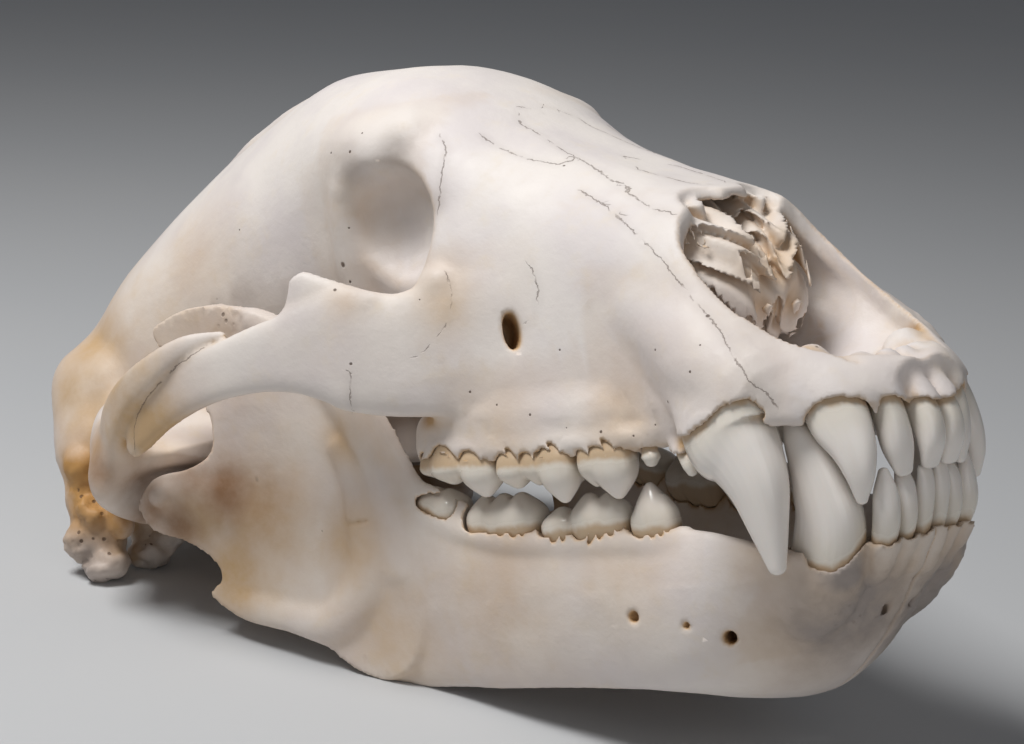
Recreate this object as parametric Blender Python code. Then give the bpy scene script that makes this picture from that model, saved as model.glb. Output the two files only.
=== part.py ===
"""Kodiak bear skull with its lower jaw and teeth, standing as it rests on a flat surface.

The bones are laid out in the skull's own frame, in millimetres: X runs forward and is 0 at the
front of the upper jaw, Y runs to the left and is 0 on the midline, Z runs up and is 0 at the rim
of the upper tooth sockets. The last step tips the skull back onto its rest points, in metres.
"""

import math

import bmesh
import bpy
import numpy as np
from mathutils import Matrix, Vector
from mathutils.geometry import delaunay_2d_cdt

MM = 0.001

# Resting pose: the skull tips back onto the heels of the lower jaw and the mastoid tips.
REST_PITCH = math.radians(18.9)
REST_SHIFT = 200.26
REST_LIFT = 133.3

# Working sizes of the surface, in millimetres.
BONE_VOXEL = 2.0
TOOTH_VOXEL = 0.8
OPENING_VOXEL = 1.5
LAST_VOXEL = 1.6
SOCKET_GAP = 0.45
CHIN_GAP = 0.3

# Triangle counts of the finished surfaces, before the sockets are cut.
CRANIUM_TRIANGLES = 2240
MANDIBLE_TRIANGLES = 680
TOOTH_TRIANGLES = 72

# A point nearer to the middle plane than this, in metres, lies in it.
ON_MIDDLE = 0.000001

CRANIUM_COLOUR = (0.76, 0.70, 0.62)
MANDIBLE_COLOUR = (0.74, 0.69, 0.61)
TOOTH_COLOUR = (0.86, 0.82, 0.72)

# Shares of the way out of the rings that round off the end of a rod.
CAP_STEPS = (0.5, 0.87, 0.99)

ALONG_X = (1, 0, 0)
ALONG_Z = (0, 0, 1)

# Outline of the brain case and snout: at each x, half sections (y, z) from the top midline down to
# the bottom one.
SKULL_SECTIONS = [
    (-3, [(0, 16), (8, 15.5), (13, 13), (16, 9), (16, 5), (14, 2), (8, -1), (0, -1)]),
    (-8, [(0, 18), (12, 18), (19, 15), (24, 10), (25, 6), (22, 0), (12, -1), (0, 0)]),
    (-14, [(0, 21), (15, 21), (25, 17), (30, 11), (31, 6), (28, 0), (14, -1), (0, 2)]),
    (-24, [(0, 27), (18, 27), (29, 24), (36, 17), (39, 9), (37, 1), (18, 0), (0, 4)]),
    (-36, [(0, 38), (20, 38), (34, 31), (41, 22), (45, 13), (45, 3), (20, 2), (0, 6)]),
    (-50, [(0, 58), (22, 54), (36, 42.5), (43, 32), (47, 18), (46, 2), (22, 3), (0, 8)]),
    (-64, [(0, 76), (20, 73), (34, 59), (42, 44), (46, 26), (45, 3), (24, 4), (0, 9)]),
    (-72, [(0, 80), (18, 78), (30, 70), (40, 54), (44.5, 32), (44, 2), (25, 4), (0, 10)]),
    (-84, [(0, 84), (17, 82.5), (29, 75), (39, 60), (43, 36), (43, 1), (26, 5), (0, 10)]),
    (-104, [(0, 92), (17, 91), (31, 82), (41, 67), (45, 44), (46, -1), (28, 6), (0, 11)]),
    (-126, [(0, 102), (19, 101), (33, 92), (44, 76), (50, 50), (53, -1), (30, 7), (0, 12)]),
    (-146, [(0, 114), (20, 112), (37, 103), (48, 86), (57, 56), (55, -1), (32, 8), (0, 13)]),
    (-162, [(0, 126), (22, 123.5), (41, 114), (50, 98), (58, 64), (52, 2), (32, 9), (0, 14)]),
    (-180, [(0, 138), (24, 135), (43, 125), (50, 110), (50, 80), (40, 12), (28, 9), (0, 14)]),
    (-200, [(0, 146), (22, 143.5), (42, 133), (55, 118), (50, 88), (38, 40), (22, 14), (0, 16)]),
    (-222, [(0, 149.5), (18, 147.5), (38, 137), (51, 121), (52, 94), (43, 54), (26, 26), (0, 24)]),
    (-248, [(0, 152), (16, 150), (34, 138), (48, 119), (54, 93), (49, 56), (30, 28), (0, 25)]),
    (-276, [(0, 151), (10, 148), (30, 136), (49, 115), (57, 88), (53, 54), (32, 26), (0, 21)]),
    (-306, [(0, 145), (8, 141), (29, 129), (52, 107), (63, 82), (61, 50), (40, 22), (0, 16)]),
    (-336, [(0, 135), (8, 131), (30, 119), (55, 99), (69, 76), (69, 46), (46, 18), (0, 11)]),
    (-360, [(0, 124), (9, 120), (30, 108), (53, 91), (68, 71), (70, 44), (45, 16), (0, 8)]),
    (-376, [(0, 113), (12, 109), (30, 98), (49, 81), (61, 64), (62, 42), (40, 20), (0, 8)]),
    (-384, [(0, 100), (12, 98), (26, 88), (38, 74), (44, 58), (38, 40), (26, 26), (0, 20)]),
]

# Rim of the nose opening: x, half width, height.
NOSE_RIM = [
    (-10, 19, 17.5), (-18, 23, 21), (-24, 27, 23.5), (-30, 30, 26), (-36, 31.6, 30),
    (-42, 33, 34), (-48, 33.8, 39), (-54, 33.6, 45), (-60, 33, 52), (-66, 31, 60), (-69, 26, 66),
]

# Body of the lower jaw: at each x, a closed section (y, z).
JAW_SECTIONS = [
    (-10.5, [(-4, -36.5), (3, -36), (6, -36), (6, -38), (3, -39.5), (-4, -39.5)]),
    (-14, [(-6, -37), (8, -36), (14, -36), (13, -40), (7, -43.5), (-6, -43)]),
    (-18.5, [(-6, -37), (11, -36), (20, -36.5), (17, -43), (8, -48.5), (-6, -48.5)]),
    (-26, [(-6, -37), (14, -36.5), (27, -37), (21, -47), (9, -56.5), (-6, -57.5)]),
    (-36, [(-6, -39), (18, -37.5), (37, -38), (29, -51), (12, -65.5), (-6, -67.5)]),
    (-50, [(-6, -43), (20, -38), (40, -34), (35, -54), (17, -75), (-6, -78.5)]),
    (-66, [(-6, -52), (22, -40), (40, -29), (41, -54), (25, -79.5), (-6, -86)]),
    (-80, [(-3, -66), (25, -44), (38, -27), (45, -52), (34, -79), (-1, -87)]),
    (-96, [(14, -66), (29, -42), (40, -26), (46.5, -50), (40, -77), (22, -79)]),
    (-120, [(30, -56), (35, -36), (45, -23), (50, -46), (44, -75), (34, -73)]),
    (-150, [(36, -50), (41, -30), (51, -18), (55, -42), (50, -73), (40, -71)]),
    (-180, [(41, -44), (46, -18), (56, -3), (59, -36), (54, -71), (45, -69)]),
    (-200, [(45, -38), (50, -12), (60, 6), (63, -30), (58, -69), (50, -67)]),
    (-216, [(50, -34), (55, -8), (62, 10), (66, -26), (63, -66), (55, -63)]),
    (-234, [(60, -28), (62, -6), (64, 8), (66, -16), (69, -50), (62, -54)]),
    (-252, [(70, -24), (71, -8), (72, 2), (73, -18), (76, -40), (72, -38)]),
]

# Side outline of the upright plate of the lower jaw (x, z), its middle (x, y) and its thickness (x, t).
RAMUS_OUTLINE = [
    (-188, 0), (-193, 14), (-199, 28), (-208, 44), (-222, 58), (-238, 68), (-254, 73), (-270, 73),
    (-281, 68), (-276, 56), (-268, 44), (-265, 32), (-269, 21), (-278, 16), (-290, 14), (-297, 6),
    (-293, -4), (-282, -10), (-274, -18), (-272, -25), (-277, -30), (-272, -36), (-262, -41),
    (-248, -43), (-234, -52), (-222, -63), (-210, -68), (-198, -60), (-188, -30),
]
RAMUS_MIDDLE = [(-298, 97), (-288, 92), (-276, 85), (-262, 80), (-240, 74), (-215, 64), (-185, 55)]
RAMUS_THICKNESS = [(-300, 8), (-262, 6.5), (-240, 6.5), (-222, 8), (-206, 7), (-188, 3)]

# Single rooted teeth: the way that the cross section faces, and (x, y, z, half width, half depth)
# from root to tip.
SIMPLE_TEETH = {
    "upper_incisor_1": (0, [(-15, 4.2, 15, 2.6, 3.6), (-8, 4.4, 7, 3.6, 4.8), (-3.2, 4.6, -1, 4.2, 5.4),
                            (-1.6, 4.6, -9, 4.4, 4.4), (-3.4, 4.6, -16.8, 3.8, 1.9)]),
    "upper_incisor_2": (22, [(-18, 13, 15, 3.2, 4.4), (-11, 13.8, 7, 4.3, 6.0), (-8.2, 14.1, -1, 4.8, 6.0),
                             (-7.0, 14.1, -10, 4.9, 4.6), (-6.6, 13.6, -17.8, 3.0, 1.7)]),
    "upper_incisor_3": (48, [(-29, 22, 18, 5, 6), (-21.5, 25.5, 9, 8.4, 7.2), (-16.9, 27, 1, 9.5, 6.2),
                             (-12.9, 27.4, -8, 7.2, 4.8), (-11.9, 27.5, -16, 4.8, 3.8),
                             (-13, 27.2, -23.6, 2.0, 2.2)]),
    "upper_canine": (0, [(-75, 36, 30, 6.5, 8), (-61, 38.6, 19, 8.4, 11.5), (-50.2, 41, 9, 11, 16.6),
                         (-47.2, 42, 0, 12, 16.2), (-42.6, 42.6, -7, 10, 12.5), (-39, 43.1, -16, 8, 10),
                         (-37.4, 43.5, -29, 5.1, 6.4), (-36.6, 43.5, -40.5, 2.6, 3.0)]),
    "upper_premolar_1": (0, [(-72.4, 40.6, 4, 1.8, 1.8), (-69.8, 42.2, -2, 2, 2.2),
                             (-66.8, 43, -6.4, 2.3, 2.5), (-66, 43.2, -8.6, 1.7, 1.9)]),
    "upper_premolar_3": (0, [(-84.5, 40.5, 6, 2.2, 2.4), (-84.5, 42, -0.5, 2.4, 2.7),
                             (-84.2, 42.4, -2.6, 2.8, 3.3), (-84.4, 42.4, -4, 2.0, 2.4)]),
    "lower_incisor_1": (0, [(-20, 3.3, -47, 2.2, 2.8), (-14, 3.5, -38, 2.6, 3.4),
                            (-10.4, 3.6, -31, 2.9, 3.4),
                            (-7.6, 3.7, -23, 3.2, 2.6), (-6.8, 3.7, -17.6, 2.9, 1.3)]),
    "lower_incisor_2": (16, [(-22, 9.2, -47, 2.4, 3), (-15, 10, -38, 2.8, 3.6), (-11, 10.7, -31, 3.1, 3.8),
                             (-9.4, 11.2, -23, 3.4, 2.7), (-9.8, 11.1, -17.8, 2.6, 1.2)]),
    "lower_incisor_3": (34, [(-23, 15.6, -47, 2.6, 3.2), (-16.8, 17.1, -39, 3.6, 4.2),
                             (-12.2, 18.6, -31, 4.2, 4.6), (-10.3, 19.3, -23, 3.8, 3.2),
                             (-9.8, 19.3, -17, 1.8, 1.7)]),
    "lower_canine": (0, [(-53, 20.5, -62, 6, 8), (-42.6, 22.8, -52, 8, 11), (-34.8, 24, -43, 8.6, 12),
                         (-28.8, 25.3, -30, 8.4, 11.6), (-28.2, 27, -20, 7.5, 10), (-29.2, 28.7, -11, 6, 8),
                         (-31.2, 30.4, -3, 4.2, 5.4), (-33.3, 31.2, 4.0, 1.8, 2.2)]),
}

# Cheek teeth: (x, y) of the middle, gum height, how the gum rises along the tooth, how far the tooth
# turns inward, and its lobes (along, outward, half length, half width, height) in its own turned frame.
CHEEK_TEETH = {
    "upper_premolar_4": ((-100.5, 43), 0.6, 0.0, 12,
                         [(1.0, 1.8, 8.0, 6.4, 15.4), (-6.6, 2.2, 5.0, 5.6, 10.5),
                          (-2.5, -4.4, 6, 4.5, 7)]),
    "upper_molar_1": ((-128.6, 47.6), 1.4, -0.03, 9,
                      [(8.8, 3.6, 7.2, 6.6, 15.0), (-9.0, 4.4, 6.6, 6.4, 8.8), (0, 4.2, 5, 5.4, 8.4),
                       (5, -4.6, 7.5, 6, 8), (-6, -4.6, 7.5, 6, 7.5), (13.4, -1.4, 2.6, 4.0, 8.5)]),
    "upper_molar_2": ((-161.5, 51.4), 4.4, -0.06, 4,
                      [(9.0, 4.0, 8.6, 6.4, 12.6), (-5, 4.2, 8.6, 6.4, 7.8), (9, -4.4, 8, 6, 8),
                       (-4, -4.4, 8, 6, 7), (-14, 0.4, 7.6, 7.8, 6.2)]),
    "lower_premolar_4": ((-92.5, 37.2), -26.2, 0.0, 14,
                         [(0, 0, 6.2, 5.6, 15.5), (4.8, 0.2, 4.0, 4.8, 11), (-4.8, 0, 3.5, 4.4, 9)]),
    "lower_molar_1": ((-120, 41.6), -23.8, 0.0, 11,
                      [(10.8, 0.4, 7.9, 6.4, 11.6), (3.4, 1.0, 7.6, 6.6, 12.2),
                       (-9.0, 0.6, 7.8, 6.6, 8.6)]),
    "lower_molar_2": ((-154.2, 47), -20.4, -0.08, 9,
                      [(8.6, 0.2, 8.4, 7.8, 12.4), (1, 0.4, 7.6, 7.8, 12.2), (-7.2, 0, 7.6, 7.4, 11.8)]),
    "lower_molar_3": ((-181, 50.6), -12, -0.36, 4,
                      [(3.0, 0, 7.2, 7.4, 8.8), (-3.6, 0, 6.6, 7.0, 7.6)]),
}

# Outline of a lobe, as shares of its size: by the distance past the gum for the root, in millimetres,
# and by the share of the lobe's height for the crown.
LOBE_ROOT = [(-7, 0.5), (-4, 0.74), (-1.5, 0.9)]
LOBE_CROWN = [
    (0, 0.96), (0.18, 1.0), (0.38, 0.98), (0.55, 0.87), (0.7, 0.67), (0.83, 0.45), (0.93, 0.27),
    (0.99, 0.12),
]


def smooth_curve(points, samples, closed=False):
    """Points along a Catmull-Rom curve through the given ones."""
    points = np.asarray(points, float)
    if closed:
        before, start, end, after = (np.roll(points, shift, axis=0) for shift in (1, 0, -1, -2))
    else:
        ends = np.vstack([2 * points[0] - points[1], points, 2 * points[-1] - points[-2]])
        before, start, end, after = ends[:-3], ends[1:-2], ends[2:-1], ends[3:]
    along = np.linspace(0, len(start), samples, endpoint=not closed)
    span = np.minimum(along.astype(int), len(start) - 1)
    t = (along - span)[:, None]
    a, b, c, d = before[span], start[span], end[span], after[span]
    return 0.5 * (2 * b + (c - a) * t + (2 * a - 5 * b + 4 * c - d) * t**2 + (3 * b - a - 3 * c + d) * t**3)


def symmetric_loft(stations, count=48, steps=6):
    """Rings through half sections that are mirrored over the midline."""
    rows = np.array([[x, *np.ravel(half)] for x, half in stations], float)
    rings = []
    for row in smooth_curve(rows, (len(rows) - 1) * steps + 1):
        half = row[1:].reshape(-1, 2)
        half[0, 0] = half[-1, 0] = 0
        outline = smooth_curve(np.vstack([half, half[-2:0:-1] * [-1, 1]]), count, closed=True)
        rings.append(np.column_stack([np.full(count, row[0]), outline]))
    return rings


def loft(stations, count=40, steps=5):
    """Rings through closed sections (y, z) at their x."""
    rows = np.array([[x, *np.ravel(outline)] for x, outline in stations], float)
    rings = []
    for row in smooth_curve(rows, (len(rows) - 1) * steps + 1):
        outline = smooth_curve(row[1:].reshape(-1, 2), count, closed=True)
        rings.append(np.column_stack([np.full(count, row[0]), outline]))
    return rings


def super_ellipse(count, power):
    """Cosine and sine of a ring whose corners fill out as the power rises."""
    angle = np.linspace(0, 2 * np.pi, count, endpoint=False)
    c, s = np.cos(angle), np.sin(angle)
    return np.sign(c) * np.abs(c) ** (2 / power), np.sign(s) * np.abs(s) ** (2 / power)


def tube(stations, up=ALONG_Z, count=20, steps=6, power=2.0):
    """Rings of a round-ended rod through (x, y, z, half width, half height)."""
    path = smooth_curve(stations, (len(stations) - 1) * steps + 1)
    middle = path[:, :3]
    heading = np.gradient(middle, axis=0)
    heading /= np.linalg.norm(heading, axis=1)[:, None]
    side = np.cross(heading, np.asarray(up, float))
    side /= np.linalg.norm(side, axis=1)[:, None]
    lift = np.cross(side, heading)
    c, s = super_ellipse(count, power)
    wide = side[:, None] * (np.maximum(path[:, 3], 0.3)[:, None] * c)[..., None]
    high = lift[:, None] * (np.maximum(path[:, 4], 0.3)[:, None] * s)[..., None]
    rings = list(middle[:, None] + wide + high)

    def cap(end, inner):
        outward = middle[end] - middle[inner]
        reach = outward / np.linalg.norm(outward) * min(path[end, 3], path[end, 4]) * 0.9
        first = rings[end]
        return [middle[end] + reach * f + (first - middle[end]) * math.sqrt(1 - f * f) for f in CAP_STEPS]

    front, back = cap(0, 1), cap(-1, -2)
    return front[::-1] + rings + back


def ball(center, radii, turn=(0, 0, 0), count=28):
    """Rings of an ellipsoid, turned about X, Y and Z in degrees."""
    around = np.linspace(0, 2 * np.pi, count, endpoint=False)
    turned = np.array(
        Matrix.Rotation(math.radians(turn[2]), 3, "Z")
        @ Matrix.Rotation(math.radians(turn[1]), 3, "Y")
        @ Matrix.Rotation(math.radians(turn[0]), 3, "X")
    )
    rings = []
    for polar in np.linspace(0.06, np.pi - 0.06, count // 2):
        flat = [np.sin(polar) * np.cos(around), np.sin(polar) * np.sin(around), np.full(count, np.cos(polar))]
        rings.append(np.column_stack(flat) * radii @ turned.T + center)
    return rings


def mirrored(rings):
    return [np.asarray(ring) * [1, -1, 1] for ring in rings]


def add_skin(bm, rings):
    """One closed body from rings of equal count: quads along the sides and a fan over each end."""
    rows = [[bm.verts.new(point * MM) for point in np.asarray(ring, float)] for ring in rings]
    for near, far in zip(rows, rows[1:]):
        for i in range(len(near)):
            j = (i + 1) % len(near)
            bm.faces.new((near[i], near[j], far[j], far[i]))
    for row in (rows[0][::-1], rows[-1]):
        middle = bm.verts.new(sum((v.co for v in row), Vector()) / len(row))
        for i in range(len(row)):
            bm.faces.new((row[i], row[(i + 1) % len(row)], middle))


def add_plate(bm, outline, middle, thickness, cell=4.0, rim=120):
    """Upright plate: a filled side outline (x, z), given a middle and a thickness at each point."""
    edge = smooth_curve(outline, rim, closed=True)
    xs = np.arange(edge[:, 0].min() + cell / 2, edge[:, 0].max(), cell)
    zs = np.arange(edge[:, 1].min() + cell / 2, edge[:, 1].max(), cell)
    grid = np.array([(x, z) for x in xs for z in zs])
    clear = np.sqrt(((grid[:, None] - edge[None]) ** 2).sum(-1)).min(1) > cell * 0.5
    points = [Vector(p) for p in np.vstack([edge, grid[clear]])]
    flat, _, faces, *_ = delaunay_2d_cdt(points, [], [list(range(rim))], 1, 1e-5)
    sides = []
    for sign in (1, -1):
        places = [(x, middle(x, z) + sign * thickness(x) / 2, z) for x, z in flat]
        sides.append([bm.verts.new(Vector(place) * MM) for place in places])
    for face in faces:
        bm.faces.new([sides[0][i] for i in face])
        bm.faces.new([sides[1][i] for i in reversed(face)])
    boundary = [edge for edge in bm.edges if len(edge.link_faces) == 1]
    outer = {v: sides[1][i] for i, v in enumerate(sides[0])}
    for edge in [e for e in boundary if e.verts[0] in outer]:
        a, b = edge.verts
        bm.faces.new((a, b, outer[b], outer[a]))


def new_object(name, bm):
    bmesh.ops.recalc_face_normals(bm, faces=bm.faces)
    mesh = bpy.data.meshes.new(name)
    bm.to_mesh(mesh)
    bm.free()
    obj = bpy.data.objects.new(name, mesh)
    bpy.context.scene.collection.objects.link(obj)
    return obj


def solid(name, forms, both_sides=True):
    """One object that holds every form, and its mirror image where both sides are asked for."""
    bm = bmesh.new()
    for rings in forms:
        add_skin(bm, rings)
        if both_sides:
            add_skin(bm, mirrored(rings))
    return new_object(name, bm)


def absorb(target, other):
    """Moves the other object's mesh into the target, and removes the other."""
    bm = bmesh.new()
    bm.from_mesh(target.data)
    bm.from_mesh(other.data)
    bm.to_mesh(target.data)
    bm.free()
    bpy.data.objects.remove(other)


def bake(obj):
    """Turns the object's modifiers into its own mesh."""
    graph = bpy.context.evaluated_depsgraph_get()
    mesh = bpy.data.meshes.new_from_object(obj.evaluated_get(graph))
    obj.modifiers.clear()
    obj.data = mesh


def fuse(obj, voxel, rounding):
    """Joins overlapping bodies into one skin and rounds the creases between them."""
    skin = obj.modifiers.new("Skin", "REMESH")
    skin.mode = "VOXEL"
    skin.voxel_size = voxel * MM
    if rounding:
        relax = obj.modifiers.new("Round", "SMOOTH")
        relax.factor = 0.5
        relax.iterations = rounding
    bake(obj)


def cut(obj, cutter):
    difference = obj.modifiers.new("Cut", "BOOLEAN")
    difference.operation = "DIFFERENCE"
    difference.solver = "EXACT"
    difference.object = cutter
    bake(obj)
    bpy.data.objects.remove(cutter)


def thin_out(obj, triangles):
    """Reduces the surface to about this many triangles."""
    obj.data.calc_loop_triangles()
    decimate = obj.modifiers.new("Facets", "DECIMATE")
    decimate.ratio = min(1.0, triangles / len(obj.data.loop_triangles))
    decimate.use_collapse_triangulate = True
    bake(obj)


def match_halves(obj):
    """Makes the right half the exact mirror image of the left, with no face left in the middle plane."""
    halves = obj.modifiers.new("Halves", "MIRROR")
    halves.use_axis = (False, True, False)
    halves.use_bisect_axis = (False, True, False)
    halves.merge_threshold = 0.0001
    bake(obj)
    shape = bmesh.new()
    shape.from_mesh(obj.data)
    in_middle = [face for face in shape.faces if all(abs(v.co.y) < ON_MIDDLE for v in face.verts)]
    bmesh.ops.delete(shape, geom=in_middle, context="FACES")
    shape.to_mesh(obj.data)
    shape.free()


def core_forms():
    """Brain case and snout, tooth row ridge and palate."""
    ridge = tube([(-100, 40, 10, 9, 10), (-130, 44, 11, 11, 12), (-155, 47, 12, 12, 13),
                  (-176, 48, 12, 11, 12),
                  (-184, 44, 13, 7, 8)], power=2.6)
    palate = loft([
        (-130, [(0, 18), (34, 18), (36, 8), (20, 9), (0, 11), (-6, 14)]),
        (-170, [(0, 20), (34, 20), (38, 8), (20, 9), (0, 12), (-6, 15)]),
        (-204, [(0, 22), (20, 22), (26, 12), (16, 11), (0, 14), (-6, 16)]),
    ])
    return [symmetric_loft(SKULL_SECTIONS), ridge, palate]


def eye_socket_forms():
    return [ball((-185, 83, 88.5), (34, 46, 33), (0, -10, 0)), ball((-222, 106, 76), (32, 52, 36))]


def arch_forms():
    """Cheek bone, the hook at the back of the eye socket, and the rear arm of the arch."""
    cheek = tube([(-138, 44, 44, 8, 22), (-156, 56, 43, 8, 23), (-172, 67, 43.5, 7, 21),
                  (-184, 78.5, 48, 6.2, 20.5),
                  (-193, 84, 49.6, 5.6, 17), (-202, 89, 50.4, 5, 14), (-214, 94.5, 50.2, 4.4, 11.6),
                  (-230, 100, 48.6, 4, 9.8),
                  (-246, 104.5, 46, 3.8, 10.2), (-260, 107, 42, 3.6, 10.6), (-269, 108, 36.4, 3.4, 9),
                  (-276, 108.3, 30.6, 3, 6.4),
                  (-280, 108.4, 26.4, 2.4, 3.6)], power=3, steps=5)
    hook = tube([(-190, 82, 57, 20, 3.4), (-192.5, 83.6, 65, 14.5, 3.2), (-194.4, 84.8, 71, 8, 2.8),
                 (-195.4, 85.6, 74.6, 4.4, 2.2)], up=(0.5, 0.866, 0))
    arm = tube([(-338, 62, 36, 10, 15), (-328, 80, 30, 9, 16), (-316, 92, 26, 8, 15),
                (-302, 101.5, 28.5, 6.4, 12.5),
                (-289, 108, 37, 5, 9), (-276, 110.6, 45.4, 4, 7), (-262, 111, 50.8, 3.6, 6),
                (-250.5, 109, 55.8, 3.2, 4.8),
                (-243, 105.4, 58.8, 2.8, 3.8), (-236, 101.4, 60.2, 2.2, 2.8),
                (-228, 98, 60.8, 1.6, 1.6)], steps=5, power=2.6)
    return [cheek, hook, arm]


def jaw_socket_forms():
    """Root of the arch over the jaw joint, and the ridge behind the joint."""
    root = loft([
        (-344, [(48, 48), (76, 46), (84, 36), (83, 18), (70, 6), (48, 6)]),
        (-326, [(48, 50), (82, 46), (95, 38), (97, 16), (86, 3), (48, 4)]),
        (-312, [(48, 44), (88, 40), (104, 33), (108, 16), (98, 8), (48, 10)]),
        (-297, [(46, 34), (84, 31), (104, 29), (108, 22), (98, 17), (46, 17)]),
        (-284, [(44, 27), (70, 25), (86, 24.5), (88, 22), (72, 18), (44, 18)]),
    ])
    ridge = tube([(-306, 106, 17, 6, 9), (-312, 96, 11, 6.5, 9), (-315, 78, 5, 6.5, 9),
                  (-315, 58, 5, 6.5, 9)])
    return [root, ridge]


def crest_forms():
    """Brow corners, the ridge behind each eye socket, the nape crest and the ridge along the top."""
    brow = tube([(-184, 36, 118, 15, 10), (-196, 46, 114, 12, 9), (-205, 53, 108, 7, 7)])
    behind_eye = tube([(-206, 54, 106, 4, 5), (-211, 51, 90, 4, 5), (-214, 46, 70, 4, 5),
                       (-213, 41, 48, 4, 4)], up=ALONG_X)
    nape = tube([(-384, 0, 112, 5, 7), (-378, 22, 101, 4.4, 7), (-370, 40, 86, 4, 7),
                 (-363, 57, 74, 3.6, 7),
                 (-361, 70, 67, 3.6, 9), (-363, 79, 60, 3.6, 11), (-361, 83, 47, 4.4, 12),
                 (-356, 84, 30, 8, 14)],
                up=(-1, 0, 0.2), steps=5)
    top = tube([(-285, 0, 148, 3, 4), (-330, 0, 136, 3.2, 4), (-362, 0, 124, 3.4, 4.5),
                (-384, 0, 114, 4, 6)])
    return [brow, behind_eye, nape, top]


def base_forms():
    """Back and underside: process behind the ear and the one beside it, condyles, ear capsules, palate plates."""
    nape_wall = loft([
        (-376, [(30, 70), (56, 70), (70, 56), (68, 30), (50, 16), (30, 20)]),
        (-367, [(30, 76), (60, 74), (80, 58), (81, 30), (60, 12), (30, 12)]),
        (-359, [(30, 70), (60, 68), (78, 52), (80, 28), (62, 9), (30, 9)]),
    ])
    mastoid = tube([(-358, 80, 34, 10, 13), (-353, 84, 12, 10.5, 13), (-350, 87, -6, 10.5, 12),
                    (-349, 87, -14, 8.5, 10)], up=ALONG_X)
    beside = tube([(-368, 52, 20, 9, 9), (-360, 58, 6, 8.5, 8.5), (-353, 62, -8, 7.5, 8),
                   (-350, 63, -16, 6.5, 7)], up=ALONG_X)
    web = ball((-348, 62, 8), (11, 11, 10))
    behind_arm = ball((-351, 72, 50), (13, 10, 15))
    condyle = ball((-392, 23, 16), (13, 11, 17), (0, 20, -18))
    floor = loft([
        (-215, [(-6, 34), (12, 34), (15, 28), (10, 23), (0, 22), (-6, 23)]),
        (-290, [(-6, 30), (18, 30), (20, 20), (12, 15), (0, 14), (-6, 15)]),
        (-380, [(-6, 24), (24, 24), (26, 14), (14, 6), (0, 6), (-6, 7)]),
    ])
    ear = ball((-336, 36, 11), (22, 17, 13), (0, 0, 20))
    plate = tube([(-196, 24, 20, 3.4, 10), (-220, 22, 18, 3, 13), (-244, 21, 18, 2.8, 13),
                  (-256, 22, 12, 2.4, 8)], power=2.6)
    return [nape_wall, mastoid, beside, web, behind_arm, condyle, floor, ear, plate]


def canine_swelling():
    return [tube([(-42, 40, 13, 12.5, 14), (-54, 40, 22, 12.5, 14.5), (-68, 37.5, 32, 10.5, 12),
                  (-84, 35, 44, 7, 8)])]


def nose_forms():
    """Nose opening, the passage behind it, and the hollow for the tip of each lower canine."""
    floor = 18
    opening = [(4, [(-20, 60), (8, 60), (12, 30), (12, 22), (6, 18), (-6, 18)])]
    for x, w, z in NOSE_RIM:
        low = max(z - 9, floor + 2)
        opening.append((x, [(-20, z + 40), (w - 1, z + 40), (w + 0.5, z + 2), (w - 1.5, low),
                            (w * 0.55, floor),
                            (-6, floor)]))
    passage = loft([
        (-36, [(-10, 52), (16, 52), (28, 44), (31, 32), (19, 20), (-6, 19)]),
        (-60, [(-10, 66), (15, 65), (26, 57), (33, 40), (20, 21), (-6, 20)]),
        (-72, [(-10, 71), (14, 70), (24, 62), (33, 44), (20, 22), (-6, 22)]),
        (-86, [(-10, 76), (12, 75), (23, 66), (32, 50), (20, 24), (-6, 24)]),
        (-110, [(-10, 83), (11, 81), (22, 72), (30, 54), (20, 28), (-6, 28)]),
        (-128, [(-10, 83), (9, 81), (18, 72), (24, 56), (16, 34), (-6, 34)]),
    ])
    return [loft(opening, steps=3), passage, ball((-33.5, 33, 1), (7.4, 7, 9))]


def opening_forms():
    """Foramen below the eye, ear canal and the spinal opening."""
    below_eye = tube([(-116, 60, 46, 2.4, 6.5), (-129, 52, 45, 2.4, 6.5), (-146, 42, 44, 3, 5)], steps=4)
    ear_canal = tube([(-340, 112, 10, 5, 6), (-337, 80, 12, 4.5, 5.5), (-334, 56, 13, 4, 4)])
    spinal = ball((-398, 0, 26), (26, 15, 11))
    return [below_eye, ear_canal, spinal]


def scroll_forms():
    """Nasal scrolls: a lobe on each side wall and the thin wall between them."""
    lobe = tube([(-72, 24, 46, 8, 17), (-84, 22, 50, 10, 21), (-104, 20, 56, 11, 22),
                 (-124, 18, 60, 12, 22)],
                power=2.4)
    wall = tube([(-70, 0, 32, 1.8, 8), (-80, 0, 45, 1.8, 20), (-100, 0, 56, 1.8, 30),
                 (-126, 0, 62, 2.4, 28)],
                power=3)
    return [lobe, wall]


def make_cranium():
    cranium = solid("cranium", core_forms())
    fuse(cranium, BONE_VOXEL, 1)
    sockets = solid("eye sockets", eye_socket_forms())
    fuse(sockets, BONE_VOXEL, 0)
    cut(cranium, sockets)
    rest = arch_forms() + jaw_socket_forms() + crest_forms() + base_forms() + canine_swelling()
    absorb(cranium, solid("rest", rest))
    fuse(cranium, BONE_VOXEL, 5)
    openings = solid("openings", nose_forms() + opening_forms())
    fuse(openings, OPENING_VOXEL, 0)
    cut(cranium, openings)
    absorb(cranium, solid("scrolls", scroll_forms()))
    fuse(cranium, LAST_VOXEL, 2)
    thin_out(cranium, CRANIUM_TRIANGLES)
    match_halves(cranium)
    return cranium


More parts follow.
